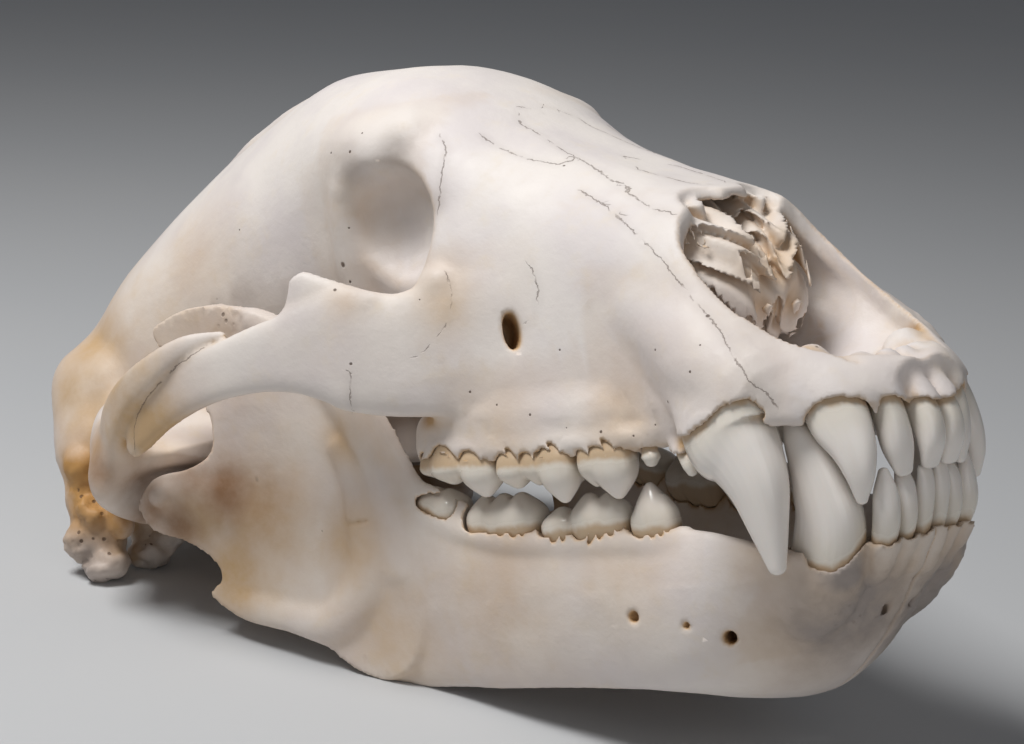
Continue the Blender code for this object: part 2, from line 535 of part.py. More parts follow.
def jaw_forms():
    """Body, front edge and muscle ridge of the upright plate, neck, condyle, heel and canine swelling."""
    body = loft(JAW_SECTIONS, steps=6)
    front_edge = tube([(-200, 60, -44, 4.5, 6), (-198, 60, -18, 4.5, 6), (-201, 62.5, 8, 4.6, 5),
                       (-208, 65.5, 28, 4.2, 5), (-221, 70, 50, 3.6, 4.4), (-240, 76, 64, 3, 3.6)],
                      up=(1, 0, 0.3))
    muscle_ridge = tube([(-214, 66, 16, 2.4, 4), (-210, 65, 0, 3, 5), (-210, 65, -20, 3.4, 6),
                         (-215, 66.5, -36, 4, 7), (-229, 71.5, -46, 4, 6), (-248, 77, -42, 3.6, 5),
                         (-264, 80, -37, 3.4, 4.5), (-275, 80.5, -33, 3, 3.5)])
    neck = tube([(-264, 80, 0, 6, 10), (-278, 85.5, 5, 6, 7.5), (-287, 91, 7.5, 5.5, 5.5)])
    condyle = tube([(-286, 97, 8, 4.6, 4.2), (-290, 88, 8.5, 6.6, 6.4), (-294, 74, 8, 7, 7),
                    (-295, 58, 7, 5.5, 5.5)])
    heel = tube([(-256, 76, -38, 5, 5), (-269, 79, -35, 4, 4), (-278, 80, -30.5, 2.8, 3)])
    canine = tube([(-37, 27.5, -49, 8, 9), (-46, 25, -57, 8, 10)])
    return [body, front_edge, muscle_ridge, neck, condyle, heel, canine]


def ramus_middle(x, z):
    inward = np.clip(-8 - z, 0, 20) * np.interp(x, [-290, -280], [0.6, 0])
    hollow = 5.5 * np.exp(-(((x + 238) / 20) ** 2) - ((z - 2) / 27) ** 2)
    return np.interp(x, *zip(*RAMUS_MIDDLE)) + 0.02 * z - inward - hollow


def ramus_thickness(x):
    return np.interp(x, *zip(*RAMUS_THICKNESS))


def make_mandible(side, name):
    """One half of the lower jaw: the left one as modelled, the right one mirrored."""
    mandible = solid(name, jaw_forms(), both_sides=False)
    bm = bmesh.new()
    add_plate(bm, RAMUS_OUTLINE, ramus_middle, ramus_thickness)
    absorb(mandible, new_object("ramus", bm))
    fuse(mandible, BONE_VOXEL, 4)
    hollow = solid("hollow", [ball((-246, 98, 8), (30, 22, 34), (0, 0, -14))], both_sides=False)
    cut(mandible, hollow)
    fuse(mandible, BONE_VOXEL, 3)
    thin_out(mandible, MANDIBLE_TRIANGLES)
    slice_off(mandible, (0, CHIN_GAP / 2, 0), (0, -1, 0))
    if side < 0:
        mirror(mandible)
    return mandible


def mirror(obj):
    obj.data.transform(Matrix.Diagonal((1, -1, 1, 1)))
    obj.data.flip_normals()


def slice_off(obj, point, outward):
    """Cuts the object flat at a plane, and closes it there."""
    bm = bmesh.new()
    bm.from_mesh(obj.data)
    geometry = bm.verts[:] + bm.edges[:] + bm.faces[:]
    done = bmesh.ops.bisect_plane(bm, geom=geometry, plane_co=Vector(point) * MM, plane_no=outward,
                                  clear_outer=True,
                                  dist=1e-6)
    rim = [item for item in done["geom_cut"] if isinstance(item, bmesh.types.BMEdge)]
    if rim:
        filled = bmesh.ops.triangle_fill(bm, edges=rim, use_beauty=True)
        faces = [item for item in filled["geom"] if isinstance(item, bmesh.types.BMFace)]
        bmesh.ops.recalc_face_normals(bm, faces=bm.faces)
        for face in faces:
            face.smooth = False
    bm.to_mesh(obj.data)
    bm.free()


def drop_crumbs(obj):
    """Keeps the largest connected piece of the surface, without the slivers that a cut can leave."""
    bm = bmesh.new()
    bm.from_mesh(obj.data)
    left = set(bm.verts)
    pieces = []
    while left:
        piece = {left.pop()}
        edge_of_piece = list(piece)
        while edge_of_piece:
            near = {e.other_vert(v) for v in edge_of_piece for e in v.link_edges} - piece
            piece |= near
            edge_of_piece = list(near)
        left -= piece
        pieces.append(piece)
    pieces.sort(key=len)
    bmesh.ops.delete(bm, geom=[v for piece in pieces[:-1] for v in piece], context="VERTS")
    bm.to_mesh(obj.data)
    bm.free()


def cheek_tooth_forms(center, gum, rise, turn, lobes, up):
    """One rounded form for each lobe of the tooth, from its root to its cusp."""
    turned = math.radians(turn)
    along = np.array([math.cos(turned), -math.sin(turned), 0.0])
    outward = np.array([math.sin(turned), math.cos(turned), 0.0])
    c, s = super_ellipse(20, 2.5)
    forms = []
    for forward, aside, half_length, half_width, height in lobes:
        foot = np.array([*center, gum + rise * forward]) + along * forward + outward * aside
        rings = []
        for level, share in LOBE_ROOT + [(share_up * height, share) for share_up, share in LOBE_CROWN]:
            ring = along * (half_length * share * c)[:, None] + outward * (half_width * share * s)[:, None]
            rings.append(ring + foot + np.array([0, 0, up * level]))
        forms.append(rings)
    return forms


def make_tooth(name):
    """The left tooth."""
    if name in SIMPLE_TEETH:
        turn, path = SIMPLE_TEETH[name]
        facing = (math.cos(math.radians(turn)), math.sin(math.radians(turn)), 0)
        forms = [tube(path, up=facing, count=18, steps=4, power=2.2)]
    else:
        up = -1 if name.startswith("upper") else 1
        forms = cheek_tooth_forms(*CHEEK_TEETH[name], up)
    tooth = solid(name + "_left", forms, both_sides=False)
    fuse(tooth, TOOTH_VOXEL, 2)
    thin_out(tooth, TOOTH_TRIANGLES)
    return tooth


def right_twin(tooth):
    twin = bpy.data.objects.new(tooth.name.replace("_left", "_right"), tooth.data.copy())
    bpy.context.scene.collection.objects.link(twin)
    mirror(twin)
    return twin


def cut_tooth_sockets(bone, teeth):
    """Room for each root: the teeth, grown by the gap, are taken from the bone."""
    cutters = bpy.data.collections.new(bone.name + " sockets")
    bpy.context.scene.collection.children.link(cutters)
    for tooth in teeth:
        mesh = tooth.data.copy()
        moved = [v.co + v.normal * SOCKET_GAP * MM for v in mesh.vertices]
        for vertex, place in zip(mesh.vertices, moved):
            vertex.co = place
        cutter = bpy.data.objects.new(tooth.name + " socket", mesh)
        cutter.hide_render = True
        cutter.display_type = "WIRE"
        cutters.objects.link(cutter)
    difference = bone.modifiers.new("Tooth sockets", "BOOLEAN")
    difference.operation = "DIFFERENCE"
    difference.solver = "EXACT"
    difference.operand_type = "COLLECTION"
    difference.collection = cutters
    difference.use_self = True
    bake(bone)
    for cutter in list(cutters.objects):
        bpy.data.objects.remove(cutter)
    bpy.data.collections.remove(cutters)


def material(name, colour, roughness):
    made = bpy.data.materials.new(name)
    made.use_nodes = True
    shader = made.node_tree.nodes["Principled BSDF"]
    shader.inputs["Base Color"].default_value = (*colour, 1)
    shader.inputs["Roughness"].default_value = roughness
    shader.inputs["Metallic"].default_value = 0.0
    return made


def stand(objects):
    """Tips everything back onto the rest points and moves it over the origin."""
    tip = Matrix.Rotation(-REST_PITCH, 4, "Y")
    move = Matrix.Translation((REST_SHIFT * MM, 0, REST_LIFT * MM))
    for obj in objects:
        obj.data.transform(move @ tip)


def finish(obj, paint):
    obj.data.materials.clear()
    obj.data.materials.append(paint)
    obj.data.shade_smooth()
    obj.data.set_sharp_from_angle(angle=math.radians(50))


def build():
    for obj in list(bpy.data.objects):
        bpy.data.objects.remove(obj)
    cranium = make_cranium()
    mandible_left = make_mandible(1, "mandible_left")
    mandible_right = make_mandible(-1, "mandible_right")
    left_teeth = [make_tooth(name) for name in [*SIMPLE_TEETH, *CHEEK_TEETH]]
    right_teeth = [right_twin(tooth) for tooth in left_teeth]
    upper = [tooth for tooth in left_teeth + right_teeth if tooth.name.startswith("upper")]
    lower_left = [tooth for tooth in left_teeth if tooth.name.startswith("lower")]
    lower_right = [tooth for tooth in right_teeth if tooth.name.startswith("lower")]
    bones = [cranium, mandible_left, mandible_right]
    teeth = left_teeth + right_teeth
    for bone, own in zip(bones, (upper, lower_left, lower_right)):
        cut_tooth_sockets(bone, own)
    stand(bones + teeth)
    for bone in bones:
        slice_off(bone, (0, 0, 0), (0, 0, -1))
        drop_crumbs(bone)
    finish(cranium, material("cranium bone", CRANIUM_COLOUR, 0.6))
    for mandible in (mandible_left, mandible_right):
        finish(mandible, material(mandible.name + " bone", MANDIBLE_COLOUR, 0.6))
    for tooth in teeth:
        finish(tooth, material(tooth.name + " enamel", TOOTH_COLOUR, 0.3))


build()
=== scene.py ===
"""Bear skull with its lower jaw and teeth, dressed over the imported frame.

Shapes are laid out in the skull's own frame, in millimetres: X runs forward and is 0 at the front of
the upper jaw, Y runs to the left and is 0 on the midline, Z runs up and is 0 at the rim of the upper
tooth sockets. They are joined as distance fields, so that one form flows into the next, and then
tipped back onto the rest points, in metres.
"""
import math

import bpy
import numpy as np
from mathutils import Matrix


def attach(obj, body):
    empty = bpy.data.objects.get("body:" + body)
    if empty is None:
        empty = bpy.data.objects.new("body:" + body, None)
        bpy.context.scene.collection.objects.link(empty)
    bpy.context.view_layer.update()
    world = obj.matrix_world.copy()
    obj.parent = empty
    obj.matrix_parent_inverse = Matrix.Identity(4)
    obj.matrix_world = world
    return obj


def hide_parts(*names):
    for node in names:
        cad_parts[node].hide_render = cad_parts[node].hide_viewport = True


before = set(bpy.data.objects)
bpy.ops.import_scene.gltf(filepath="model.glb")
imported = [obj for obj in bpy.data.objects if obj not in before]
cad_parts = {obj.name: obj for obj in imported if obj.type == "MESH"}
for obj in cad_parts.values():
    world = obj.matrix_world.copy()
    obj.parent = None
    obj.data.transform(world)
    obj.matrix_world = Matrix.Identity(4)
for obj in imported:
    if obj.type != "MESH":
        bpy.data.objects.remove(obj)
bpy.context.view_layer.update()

import openvdb
from mathutils import Matrix, Vector, noise
from mathutils.bvhtree import BVHTree
from mathutils.geometry import delaunay_2d_cdt

MM = 0.001

# Resting pose of the skull's own frame.
REST_PITCH = math.radians(18.9)
REST_SHIFT = 200.26
REST_LIFT = 133.3
REST = Matrix.Translation((REST_SHIFT * MM, 0, REST_LIFT * MM)) @ Matrix.Rotation(-REST_PITCH, 4, "Y")

# The photo's camera in the skull's own frame: directions to the right, up and ahead, place, focal length.
PHOTO_SIZE = (1024, 744)
CAMERA_RIGHT = Vector((0.64720, 0.74424, -0.16507))
CAMERA_UP = Vector((0.11025, 0.12288, 0.98628))
CAMERA_AHEAD = Vector((-0.75431, 0.65651, 0.00252))
CAMERA_PLACE = Vector((473.157, -579.396, 29.464))
FOCAL_PIXELS = 2428.5
SENSOR_WIDTH = 36

# Fields: cell sizes, how many cells each form reaches, and the room kept around a tooth.
BONE_CELL = 1.2
JAW_CELL = BONE_CELL * 0.85
TOOTH_CELL = 0.53
REACH = 7
TOOTH_REACH = 5
TOOTH_MARGIN = 2
SOCKET_MARGIN = 5

# Most triangles of a bone, and the gaps round each tooth and at the chin.
BONE_TRIANGLES = 188000
JAW_TRIANGLES = 88500
SOCKET_GAP = 0.35
CHIN_GAP = 0.3

# Folds of the nasal scrolls: distance apart, depth, how deep they cut, and their lean at each height.
SCROLL_SPACING = 7.0
SCROLL_DEPTH = 5.5
SCROLL_SHARPNESS = 1.5
SCROLL_RIPPLE = 2.4
SCROLL_LEAN = [(28, 86), (38, 70), (50, 40), (64, 24)]
SCROLL_BLEND = 0.6

ALONG_X = (1, 0, 0)
ALONG_Z = (0, 0, 1)

# Rods: least half width, how far a rounded end reaches as a share of it, and the steps of that reach.
THINNEST = 0.3
CAP_REACH = 0.9
CAP_STEPS = (0.5, 0.87, 0.99)

# Brain case and snout: at each x, a half section (y, z) from the top midline to the bottom one.
SKULL_SECTIONS = [
    (-3, [(0, 16), (8, 15.5), (13, 13), (16, 9), (16, 5), (14, 2), (8, -1), (0, -1)]),
    (-8, [(0, 18), (12, 18), (19, 15), (24, 10), (25, 6), (22, 0), (12, -1), (0, 0)]),
    (-14, [(0, 21), (15, 21), (25, 17), (30, 11), (31, 6), (28, 0), (14, -1), (0, 2)]),
    (-24, [(0, 27), (18, 27), (29, 24), (36, 17), (39, 9), (37, 1), (18, 0), (0, 4)]),
    (-36, [(0, 38), (20, 38), (34, 31), (41, 22), (45, 13), (45, 3), (20, 2), (0, 6)]),
    (-50, [(0, 58), (22, 54), (36, 42.5), (43, 32), (47, 18), (46, 2), (22, 3), (0, 8)]),
    (-64, [(0, 76), (20, 73), (34, 59), (42, 44), (46, 26), (45, 3), (24, 4), (0, 9)]),
    (-72, [(0, 80), (18, 78), (30, 70), (40, 54), (44.5, 32), (44, 2), (25, 4), (0, 10)]),
    (-84, [(0, 84), (17, 82.5), (29, 75), (39, 60), (43, 36), (43, 1), (26, 5), (0, 10)]),
    (-104, [(0, 92), (17, 91), (31, 82), (41, 67), (45, 44), (46, -1), (28, 6), (0, 11)]),
    (-126, [(0, 102), (19, 101), (33, 92), (44, 76), (50, 50), (53, -1), (30, 7), (0, 12)]),
    (-146, [(0, 114), (20, 112), (37, 103), (48, 86), (57, 56), (55, -1), (32, 8), (0, 13)]),
    (-162, [(0, 126), (22, 123.5), (41, 114), (50, 98), (58, 64), (52, 2), (32, 9), (0, 14)]),
    (-180, [(0, 138), (24, 135), (43, 125), (50, 110), (50, 80), (40, 12), (28, 9), (0, 14)]),
    (-200, [(0, 146), (22, 143.5), (42, 133), (55, 118), (50, 88), (38, 40), (22, 14), (0, 16)]),
    (-222, [(0, 149.5), (18, 147.5), (38, 137), (51, 121), (52, 94), (43, 54), (26, 26), (0, 24)]),
    (-248, [(0, 152), (16, 150), (34, 138), (48, 119), (54, 93), (49, 56), (30, 28), (0, 25)]),
    (-276, [(0, 151), (10, 148), (30, 136), (49, 115), (57, 88), (53, 54), (32, 26), (0, 21)]),
    (-306, [(0, 145), (8, 141), (29, 129), (52, 107), (63, 82), (61, 50), (40, 22), (0, 16)]),
    (-336, [(0, 135), (8, 131), (30, 119), (55, 99), (69, 76), (69, 46), (46, 18), (0, 11)]),
    (-360, [(0, 124), (9, 120), (30, 108), (53, 91), (68, 71), (70, 44), (45, 16), (0, 8)]),
    (-376, [(0, 113), (12, 109), (30, 98), (49, 81), (61, 64), (62, 42), (40, 20), (0, 8)]),
    (-384, [(0, 100), (12, 98), (26, 88), (38, 74), (44, 58), (38, 40), (26, 26), (0, 20)]),
]

# Rim of the nose opening: x, half width, height.
NOSE_RIM = [
    (-10, 19, 17.5), (-18, 23, 21), (-24, 27, 23.5), (-30, 30, 26), (-36, 31.6, 30), (-42, 33, 34),
    (-48, 33.8, 39), (-54, 33.6, 45), (-60, 33, 52), (-66, 31, 60), (-69, 26, 66),
]

NOSE_FLOOR = 18

# Body of the lower jaw: at each x, a closed section (y, z).
JAW_SECTIONS = [
    (-10.5, [(-4, -36.5), (3, -36), (6, -36), (6, -38), (3, -39.5), (-4, -39.5)]),
    (-14, [(-6, -37), (8, -36), (14, -36), (13, -40), (7, -43.5), (-6, -43)]),
    (-18.5, [(-6, -37), (11, -36), (20, -36.5), (17, -43), (8, -48.5), (-6, -48.5)]),
    (-26, [(-6, -37), (14, -36.5), (27, -37), (21, -47), (9, -56.5), (-6, -57.5)]),
    (-36, [(-6, -39), (18, -37.5), (37, -38), (29, -51), (12, -65.5), (-6, -67.5)]),
    (-50, [(-6, -43), (20, -38), (40, -34), (35, -54), (17, -75), (-6, -78.5)]),
    (-66, [(-6, -52), (22, -40), (40, -29), (41, -54), (25, -79.5), (-6, -86)]),
    (-80, [(-3, -66), (25, -44), (38, -27), (45, -52), (34, -79), (-1, -87)]),
    (-96, [(14, -66), (29, -42), (40, -26), (46.5, -50), (40, -77), (22, -79)]),
    (-120, [(30, -56), (35, -36), (45, -23), (50, -46), (44, -75), (34, -73)]),
    (-150, [(36, -50), (41, -30), (51, -18), (55, -42), (50, -73), (40, -71)]),
    (-180, [(41, -44), (46, -18), (56, -3), (59, -36), (54, -71), (45, -69)]),
    (-200, [(45, -38), (50, -12), (60, 6), (63, -30), (58, -69), (50, -67)]),
    (-216, [(50, -34), (55, -8), (62, 10), (66, -26), (63, -66), (55, -63)]),
    (-234, [(60, -28), (62, -6), (64, 8), (66, -16), (69, -50), (62, -54)]),
    (-252, [(70, -24), (71, -8), (72, 2), (73, -18), (76, -40), (72, -38)]),
]

# Side outline of the upright plate of the lower jaw (x, z), and its middle (x, y) and thickness (x, t).
RAMUS_OUTLINE = [
    (-188, 0), (-193, 14), (-199, 28), (-208, 44), (-222, 58), (-238, 68), (-254, 73), (-270, 73),
    (-281, 68), (-276, 56), (-268, 44), (-265, 32), (-269, 21), (-278, 16), (-290, 14), (-297, 6),
    (-293, -4), (-282, -10), (-274, -18), (-272, -25), (-277, -30), (-272, -36), (-262, -41), (-248, -43),
    (-234, -52), (-222, -63), (-210, -68), (-198, -60), (-188, -30),
]
RAMUS_MIDDLE = [(-298, 97), (-288, 92), (-276, 85), (-262, 80), (-240, 74), (-215, 64), (-185, 55)]
RAMUS_THICKNESS = [(-300, 8), (-262, 6.5), (-240, 6.5), (-222, 8), (-206, 7), (-188, 3)]

# Single rooted teeth: turn of the cross section, and (x, y, z, half width, half depth) from root to tip.
SIMPLE_TEETH = {
    "upper_incisor_1": (0, [
        (-15, 4.2, 15, 2.6, 3.6), (-8, 4.4, 7, 3.6, 4.8), (-3.2, 4.6, -1, 4.2, 5.4),
        (-1.6, 4.6, -9, 4.4, 4.4), (-3.4, 4.6, -16.8, 3.8, 1.9),
    ]),
    "upper_incisor_2": (22, [
        (-18, 13, 15, 3.2, 4.4), (-11, 13.8, 7, 4.3, 6.0), (-8.2, 14.1, -1, 4.8, 6.0),
        (-7.0, 14.1, -10, 4.9, 4.6), (-6.6, 13.6, -17.8, 3.0, 1.7),
    ]),
    "upper_incisor_3": (48, [
        (-29, 22, 18, 5, 6), (-21.5, 25.5, 9, 8.4, 7.2), (-16.9, 27, 1, 9.5, 6.2),
        (-12.9, 27.4, -8, 7.2, 4.8), (-11.9, 27.5, -16, 4.8, 3.8), (-13, 27.2, -23.6, 2.0, 2.2),
    ]),
    "upper_canine": (0, [
        (-75, 36, 30, 6.5, 8), (-61, 38.6, 19, 8.4, 11.5), (-50.2, 41, 9, 11, 16.6),
        (-47.2, 42, 0, 12, 16.2), (-42.6, 42.6, -7, 10, 12.5), (-39, 43.1, -16, 8, 10),
        (-37.4, 43.5, -29, 5.1, 6.4), (-36.6, 43.5, -40.5, 2.6, 3.0),
    ]),
    "upper_premolar_1": (0, [
        (-72.4, 40.6, 4, 1.8, 1.8), (-69.8, 42.2, -2, 2, 2.2), (-66.8, 43, -6.4, 2.3, 2.5),
        (-66, 43.2, -8.6, 1.7, 1.9),
    ]),
    "upper_premolar_3": (0, [
        (-84.5, 40.5, 6, 2.2, 2.4), (-84.5, 42, -0.5, 2.4, 2.7), (-84.2, 42.4, -2.6, 2.8, 3.3),
        (-84.4, 42.4, -4, 2.0, 2.4),
    ]),
    "lower_incisor_1": (0, [
        (-20, 3.3, -47, 2.2, 2.8), (-14, 3.5, -38, 2.6, 3.4), (-10.4, 3.6, -31, 2.9, 3.4),
        (-7.6, 3.7, -23, 3.2, 2.6), (-6.8, 3.7, -17.6, 2.9, 1.3),
    ]),
    "lower_incisor_2": (16, [
        (-22, 9.2, -47, 2.4, 3), (-15, 10, -38, 2.8, 3.6), (-11, 10.7, -31, 3.1, 3.8),
        (-9.4, 11.2, -23, 3.4, 2.7), (-9.8, 11.1, -17.8, 2.6, 1.2),
    ]),
    "lower_incisor_3": (34, [
        (-23, 15.6, -47, 2.6, 3.2), (-16.8, 17.1, -39, 3.6, 4.2), (-12.2, 18.6, -31, 4.2, 4.6),
        (-10.3, 19.3, -23, 3.8, 3.2), (-9.8, 19.3, -17, 1.8, 1.7),
    ]),
    "lower_canine": (0, [
        (-53, 20.5, -62, 6, 8), (-42.6, 22.8, -52, 8, 11), (-34.8, 24, -43, 8.6, 12),
        (-28.8, 25.3, -30, 8.4, 11.6), (-28.2, 27, -20, 7.5, 10), (-29.2, 28.7, -11, 6, 8),
        (-31.2, 30.4, -3, 4.2, 5.4), (-33.3, 31.2, 4.0, 1.8, 2.2),
    ]),
}

# Cheek teeth: (x, y) of the middle, gum height, how the gum rises along the tooth, how far it turns
# inward, and the lobes (along, outward, half length, half width, height) in the tooth's own turned frame.
CHEEK_TEETH = {
    "upper_premolar_4": ((-100.5, 43), 0.6, 0.0, 12, [
        (1.0, 1.8, 8.0, 6.4, 15.4), (-6.6, 2.2, 5.0, 5.6, 10.5), (-2.5, -4.4, 6, 4.5, 7),
    ]),
    "upper_molar_1": ((-128.6, 47.6), 1.4, -0.03, 9, [
        (8.8, 3.6, 7.2, 6.6, 15.0), (-9.0, 4.4, 6.6, 6.4, 8.8), (0, 4.2, 5, 5.4, 8.4),
        (5, -4.6, 7.5, 6, 8), (-6, -4.6, 7.5, 6, 7.5), (13.4, -1.4, 2.6, 4.0, 8.5),
    ]),
    "upper_molar_2": ((-161.5, 51.4), 4.4, -0.06, 4, [
        (9.0, 4.0, 8.6, 6.4, 12.6), (-5, 4.2, 8.6, 6.4, 7.8), (9, -4.4, 8, 6, 8), (-4, -4.4, 8, 6, 7),
        (-14, 0.4, 7.6, 7.8, 6.2),
    ]),
    "lower_premolar_4": ((-92.5, 37.2), -26.2, 0.0, 14, [
        (0, 0, 6.2, 5.6, 15.5), (4.8, 0.2, 4.0, 4.8, 11), (-4.8, 0, 3.5, 4.4, 9),
    ]),
    "lower_molar_1": ((-120, 41.6), -23.8, 0.0, 11, [
        (10.8, 0.4, 7.9, 6.4, 11.6), (3.4, 1.0, 7.6, 6.6, 12.2), (-9.0, 0.6, 7.8, 6.6, 8.6),
    ]),
    "lower_molar_2": ((-154.2, 47), -20.4, -0.08, 9, [
        (8.6, 0.2, 8.4, 7.8, 12.4), (1, 0.4, 7.6, 7.8, 12.2), (-7.2, 0, 7.6, 7.4, 11.8),
    ]),
    "lower_molar_3": ((-181, 50.6), -12, -0.36, 4, [
        (3.0, 0, 7.2, 7.4, 8.8), (-3.6, 0, 6.6, 7.0, 7.6),
    ]),
}

# The direction that runs across the picture, as a turn about Z.
PICTURE_ROW = math.radians(-49)

# Edge of the bone round each single rooted tooth: (x, y) of its middle, (across the picture, height).
GUMS = {
    "upper_incisor_1": ((-5, 4.6), [(-6, 1), (-2, 3.1), (2, 3.1), (6, 1)]),
    "upper_incisor_2": ((-9.4, 14), [(-6, 2.5), (-3, 4.9), (3, 4.9), (6, 2.5)]),
    "upper_incisor_3": ((-17.5, 26.8), [(-10, 4.6), (-5, 7.1), (1.4, 7.4), (8.4, 5.9), (11, 3)]),
    "upper_canine": ((-48.4, 41.8), [(-14, 2.6), (-9, 5.5), (-2, 10.5), (5.5, 12.2), (10, 10.6), (15, 8)]),
    "upper_premolar_1": ((-64, 43), [(0, -2.6)]),
    "upper_premolar_3": ((-84.5, 42), [(0, 0.4)]),
    "lower_incisor_1": ((-12, 3.7), [(-5, -36), (0, -38), (5, -36)]),
    "lower_incisor_2": ((-12, 10.2), [(-5, -36.5), (0, -38.4), (5, -36.5)]),
    "lower_incisor_3": ((-14, 18), [(-6, -37), (0, -39.2), (6, -36.5)]),
    "lower_canine": ((-34, 24.2), [(-11, -38), (-8, -41.4), (0, -44.3), (4, -42.6), (11.5, -37)]),
}

# Bone round a tooth: thickness of its collar, the space freed round the crown, and how softly both join.
COLLAR = 1.7
CHEEK_COLLAR = 0.5
COLLAR_BLEND = 1.6
CLEARANCE = 1.2
CROWN_BLEND = 0.8

# Outline of a lobe: height below the gum, then shares of the lobe's height, with the share of its size.
LOBE_ROOT = [(-7, 0.5), (-4, 0.74), (-1.5, 0.9)]
LOBE_CROWN = [
    (0, 0.96), (0.18, 1.0), (0.38, 0.98), (0.55, 0.87), (0.7, 0.67), (0.83, 0.45), (0.93, 0.27),
    (0.99, 0.12),
]
LOBE_BLEND = 1.6

ALL_TEETH = [*SIMPLE_TEETH, *CHEEK_TEETH]

# Knobs on the process behind the ear: middle and radii.
MASTOID_LUMPS = [
    ((-350, 90, 24), (7, 6, 8)), ((-344, 92, 6), (6, 5, 7)), ((-354, 93, -6), (8, 6, 8)),
    ((-346, 88, -16), (9, 9, 6)), ((-356, 90, 10), (5, 4, 6)), ((-340, 82, 6), (8, 8, 8)),
    ((-337, 84, -2), (5, 5, 5)), ((-350, 66, -15), (9, 8, 6)), ((-343, 60, -11), (6, 6, 5)),
]

# Openings for the nerves on the outer side of the lower jaw.
JAW_FORAMINA = [
    [(-97, 54, -52, 2.4, 2.2), (-101, 44, -53, 2, 1.8)],
    [(-77, 52, -56, 1.4, 1.3), (-80, 42, -57, 1.1, 1)],
    [(-60, 50, -60, 3.2, 2.7), (-67, 38, -62, 2.5, 2.3), (-74, 27, -63, 2.2, 2)],
    [(-14, 11, -57, 1.9, 1.9), (-24, 7.5, -59, 1.7, 1.7), (-34, 5.5, -61, 1.5, 1.5)],
]

# Colours of the bone, its stains and its painted shade, the teeth and the floor.
BONE_PALE = (0.80, 0.74, 0.69)
BONE_COOL = (0.72, 0.66, 0.64)
BONE_CREAM = (0.76, 0.67, 0.56)
TAN = (0.58, 0.39, 0.21)
AMBER = (0.50, 0.27, 0.09)
GREY = (0.34, 0.29, 0.26)
BROWN = (0.27, 0.15, 0.08)
# Painted shade inside small holes and pits.
PIT_SHADE = (0.08, 0.045, 0.025)
JOINT = (0.13, 0.085, 0.06)
ENAMEL_PALE = (0.87, 0.81, 0.75)
ENAMEL_BASE = (0.78, 0.72, 0.63)
# Real stain near the gum; the same colour also paints shade in the hollows of the teeth.
GUM_STAIN_AND_SHADE = (0.52, 0.34, 0.17)
FLOOR_PALE = (0.55, 0.55, 0.55)
FLOOR_COOL = (0.52, 0.53, 0.54)

# Stage: half side of the floor in metres, lights (name, place, power, size) and the sky.
FLOOR_HALF = 3.0
LIGHTS = [("Key", (-0.2, -0.5, 1.25), 16, 0.5), ("Fill", (1.2, -0.6, 0.5), 2.2, 0.9)]
LIT_PLACE = Vector((0, 0, 0.1))
SKY_COLOUR = (0.9, 0.93, 1.0, 1)
SKY_STRENGTH = 0.12

# Which attribute brings which colour to the bone, and how strongly: the first paints shade in the hollows,
# the others are stains.
TINTS = [
    ("hollow_shade", TAN, 1.6), ("tan", TAN, 1.6), ("amber", AMBER, 1.5), ("grey", GREY, 1.2),
    ("brown", BROWN, 1.5),
]

# Soft patches on the bone: place in the photo, radius in millimetres and amount.
STAINS = {
    "tan": [
        (120, 380, 30, 0.5), (170, 330, 28, 0.3), (90, 410, 16, 0.5), (150, 440, 24, 0.8),
        (112, 300, 20, 0.3), (70, 390, 15, 0.6), (800, 300, 16, 0.5), (760, 260, 16, 0.45),
        (100, 345, 22, 0.55), (92, 372, 16, 0.45), (190, 270, 26, 0.3), (150, 320, 26, 0.3),
        (340, 440, 10, 0.5), (262, 520, 24, 0.55), (235, 572, 18, 0.7), (350, 545, 16, 0.5),
        (445, 300, 12, 0.35), (500, 425, 14, 0.25), (620, 420, 12, 0.3), (860, 600, 24, 0.5),
        (800, 650, 22, 0.35), (500, 600, 34, 0.3), (620, 590, 22, 0.25), (400, 640, 22, 0.35),
        (760, 560, 14, 0.3), (345, 300, 7, 0.3), (205, 520, 14, 0.6), (215, 330, 12, 0.3),
    ],
    "amber": [(90, 508, 19, 1.0), (74, 480, 14, 0.9), (112, 528, 10, 0.8), (95, 450, 14, 0.4)],
    "grey": [
        (850, 620, 24, 1.0), (845, 575, 11, 0.9), (870, 590, 14, 1.0), (88, 556, 12, 0.8),
        (155, 556, 12, 0.6), (345, 160, 8, 0.45), (395, 150, 7, 0.4), (438, 200, 5, 0.35),
        (820, 660, 16, 0.5), (245, 300, 8, 0.3),
    ],
    "brown": [
        (226, 490, 14, 0.62), (196, 478, 10, 0.5), (256, 500, 16, 0.3), (98, 470, 8, 0.5),
        (140, 480, 10, 0.6), (150, 510, 12, 0.6), (178, 528, 12, 0.6),
    ],
    "rough": [
        (90, 500, 15, 0.55), (88, 556, 12, 0.9), (155, 556, 12, 0.8), (860, 600, 22, 0.3),
        (225, 312, 8, 0.5), (880, 570, 12, 0.2), (740, 340, 14, 0.14), (480, 430, 14, 0.16),
        (560, 430, 14, 0.16), (640, 425, 12, 0.2),
    ],
}

# The hollow of the nose, where the painted shade is weaker so that its scrolls stay paler than other
# hollows.
NOSE_HOLLOW = (np.array([-88, 6, 50]), 42, 1.0)
NOSE_SHADE_SHARE = 0.4

# How far off the bone a hollow is felt for when painting shade in it, in millimetres.
HOLLOW_DEPTHS = (3, 7)

# Distance that stands for being far from every joint line.
FAR_OFF = 60.0

# Uneven bone: scale of the broad swells and of the lumps, and how high they stand.
SWELL_SCALE = 0.06
SWELL = 0.45
SWELL_NEAR_TEETH = 0.08
LUMP_SCALE = 0.2
LUMP_SHIFT = 40
LUMP_EVERYWHERE = 0.05
LUMP_ROUGH = 3.4

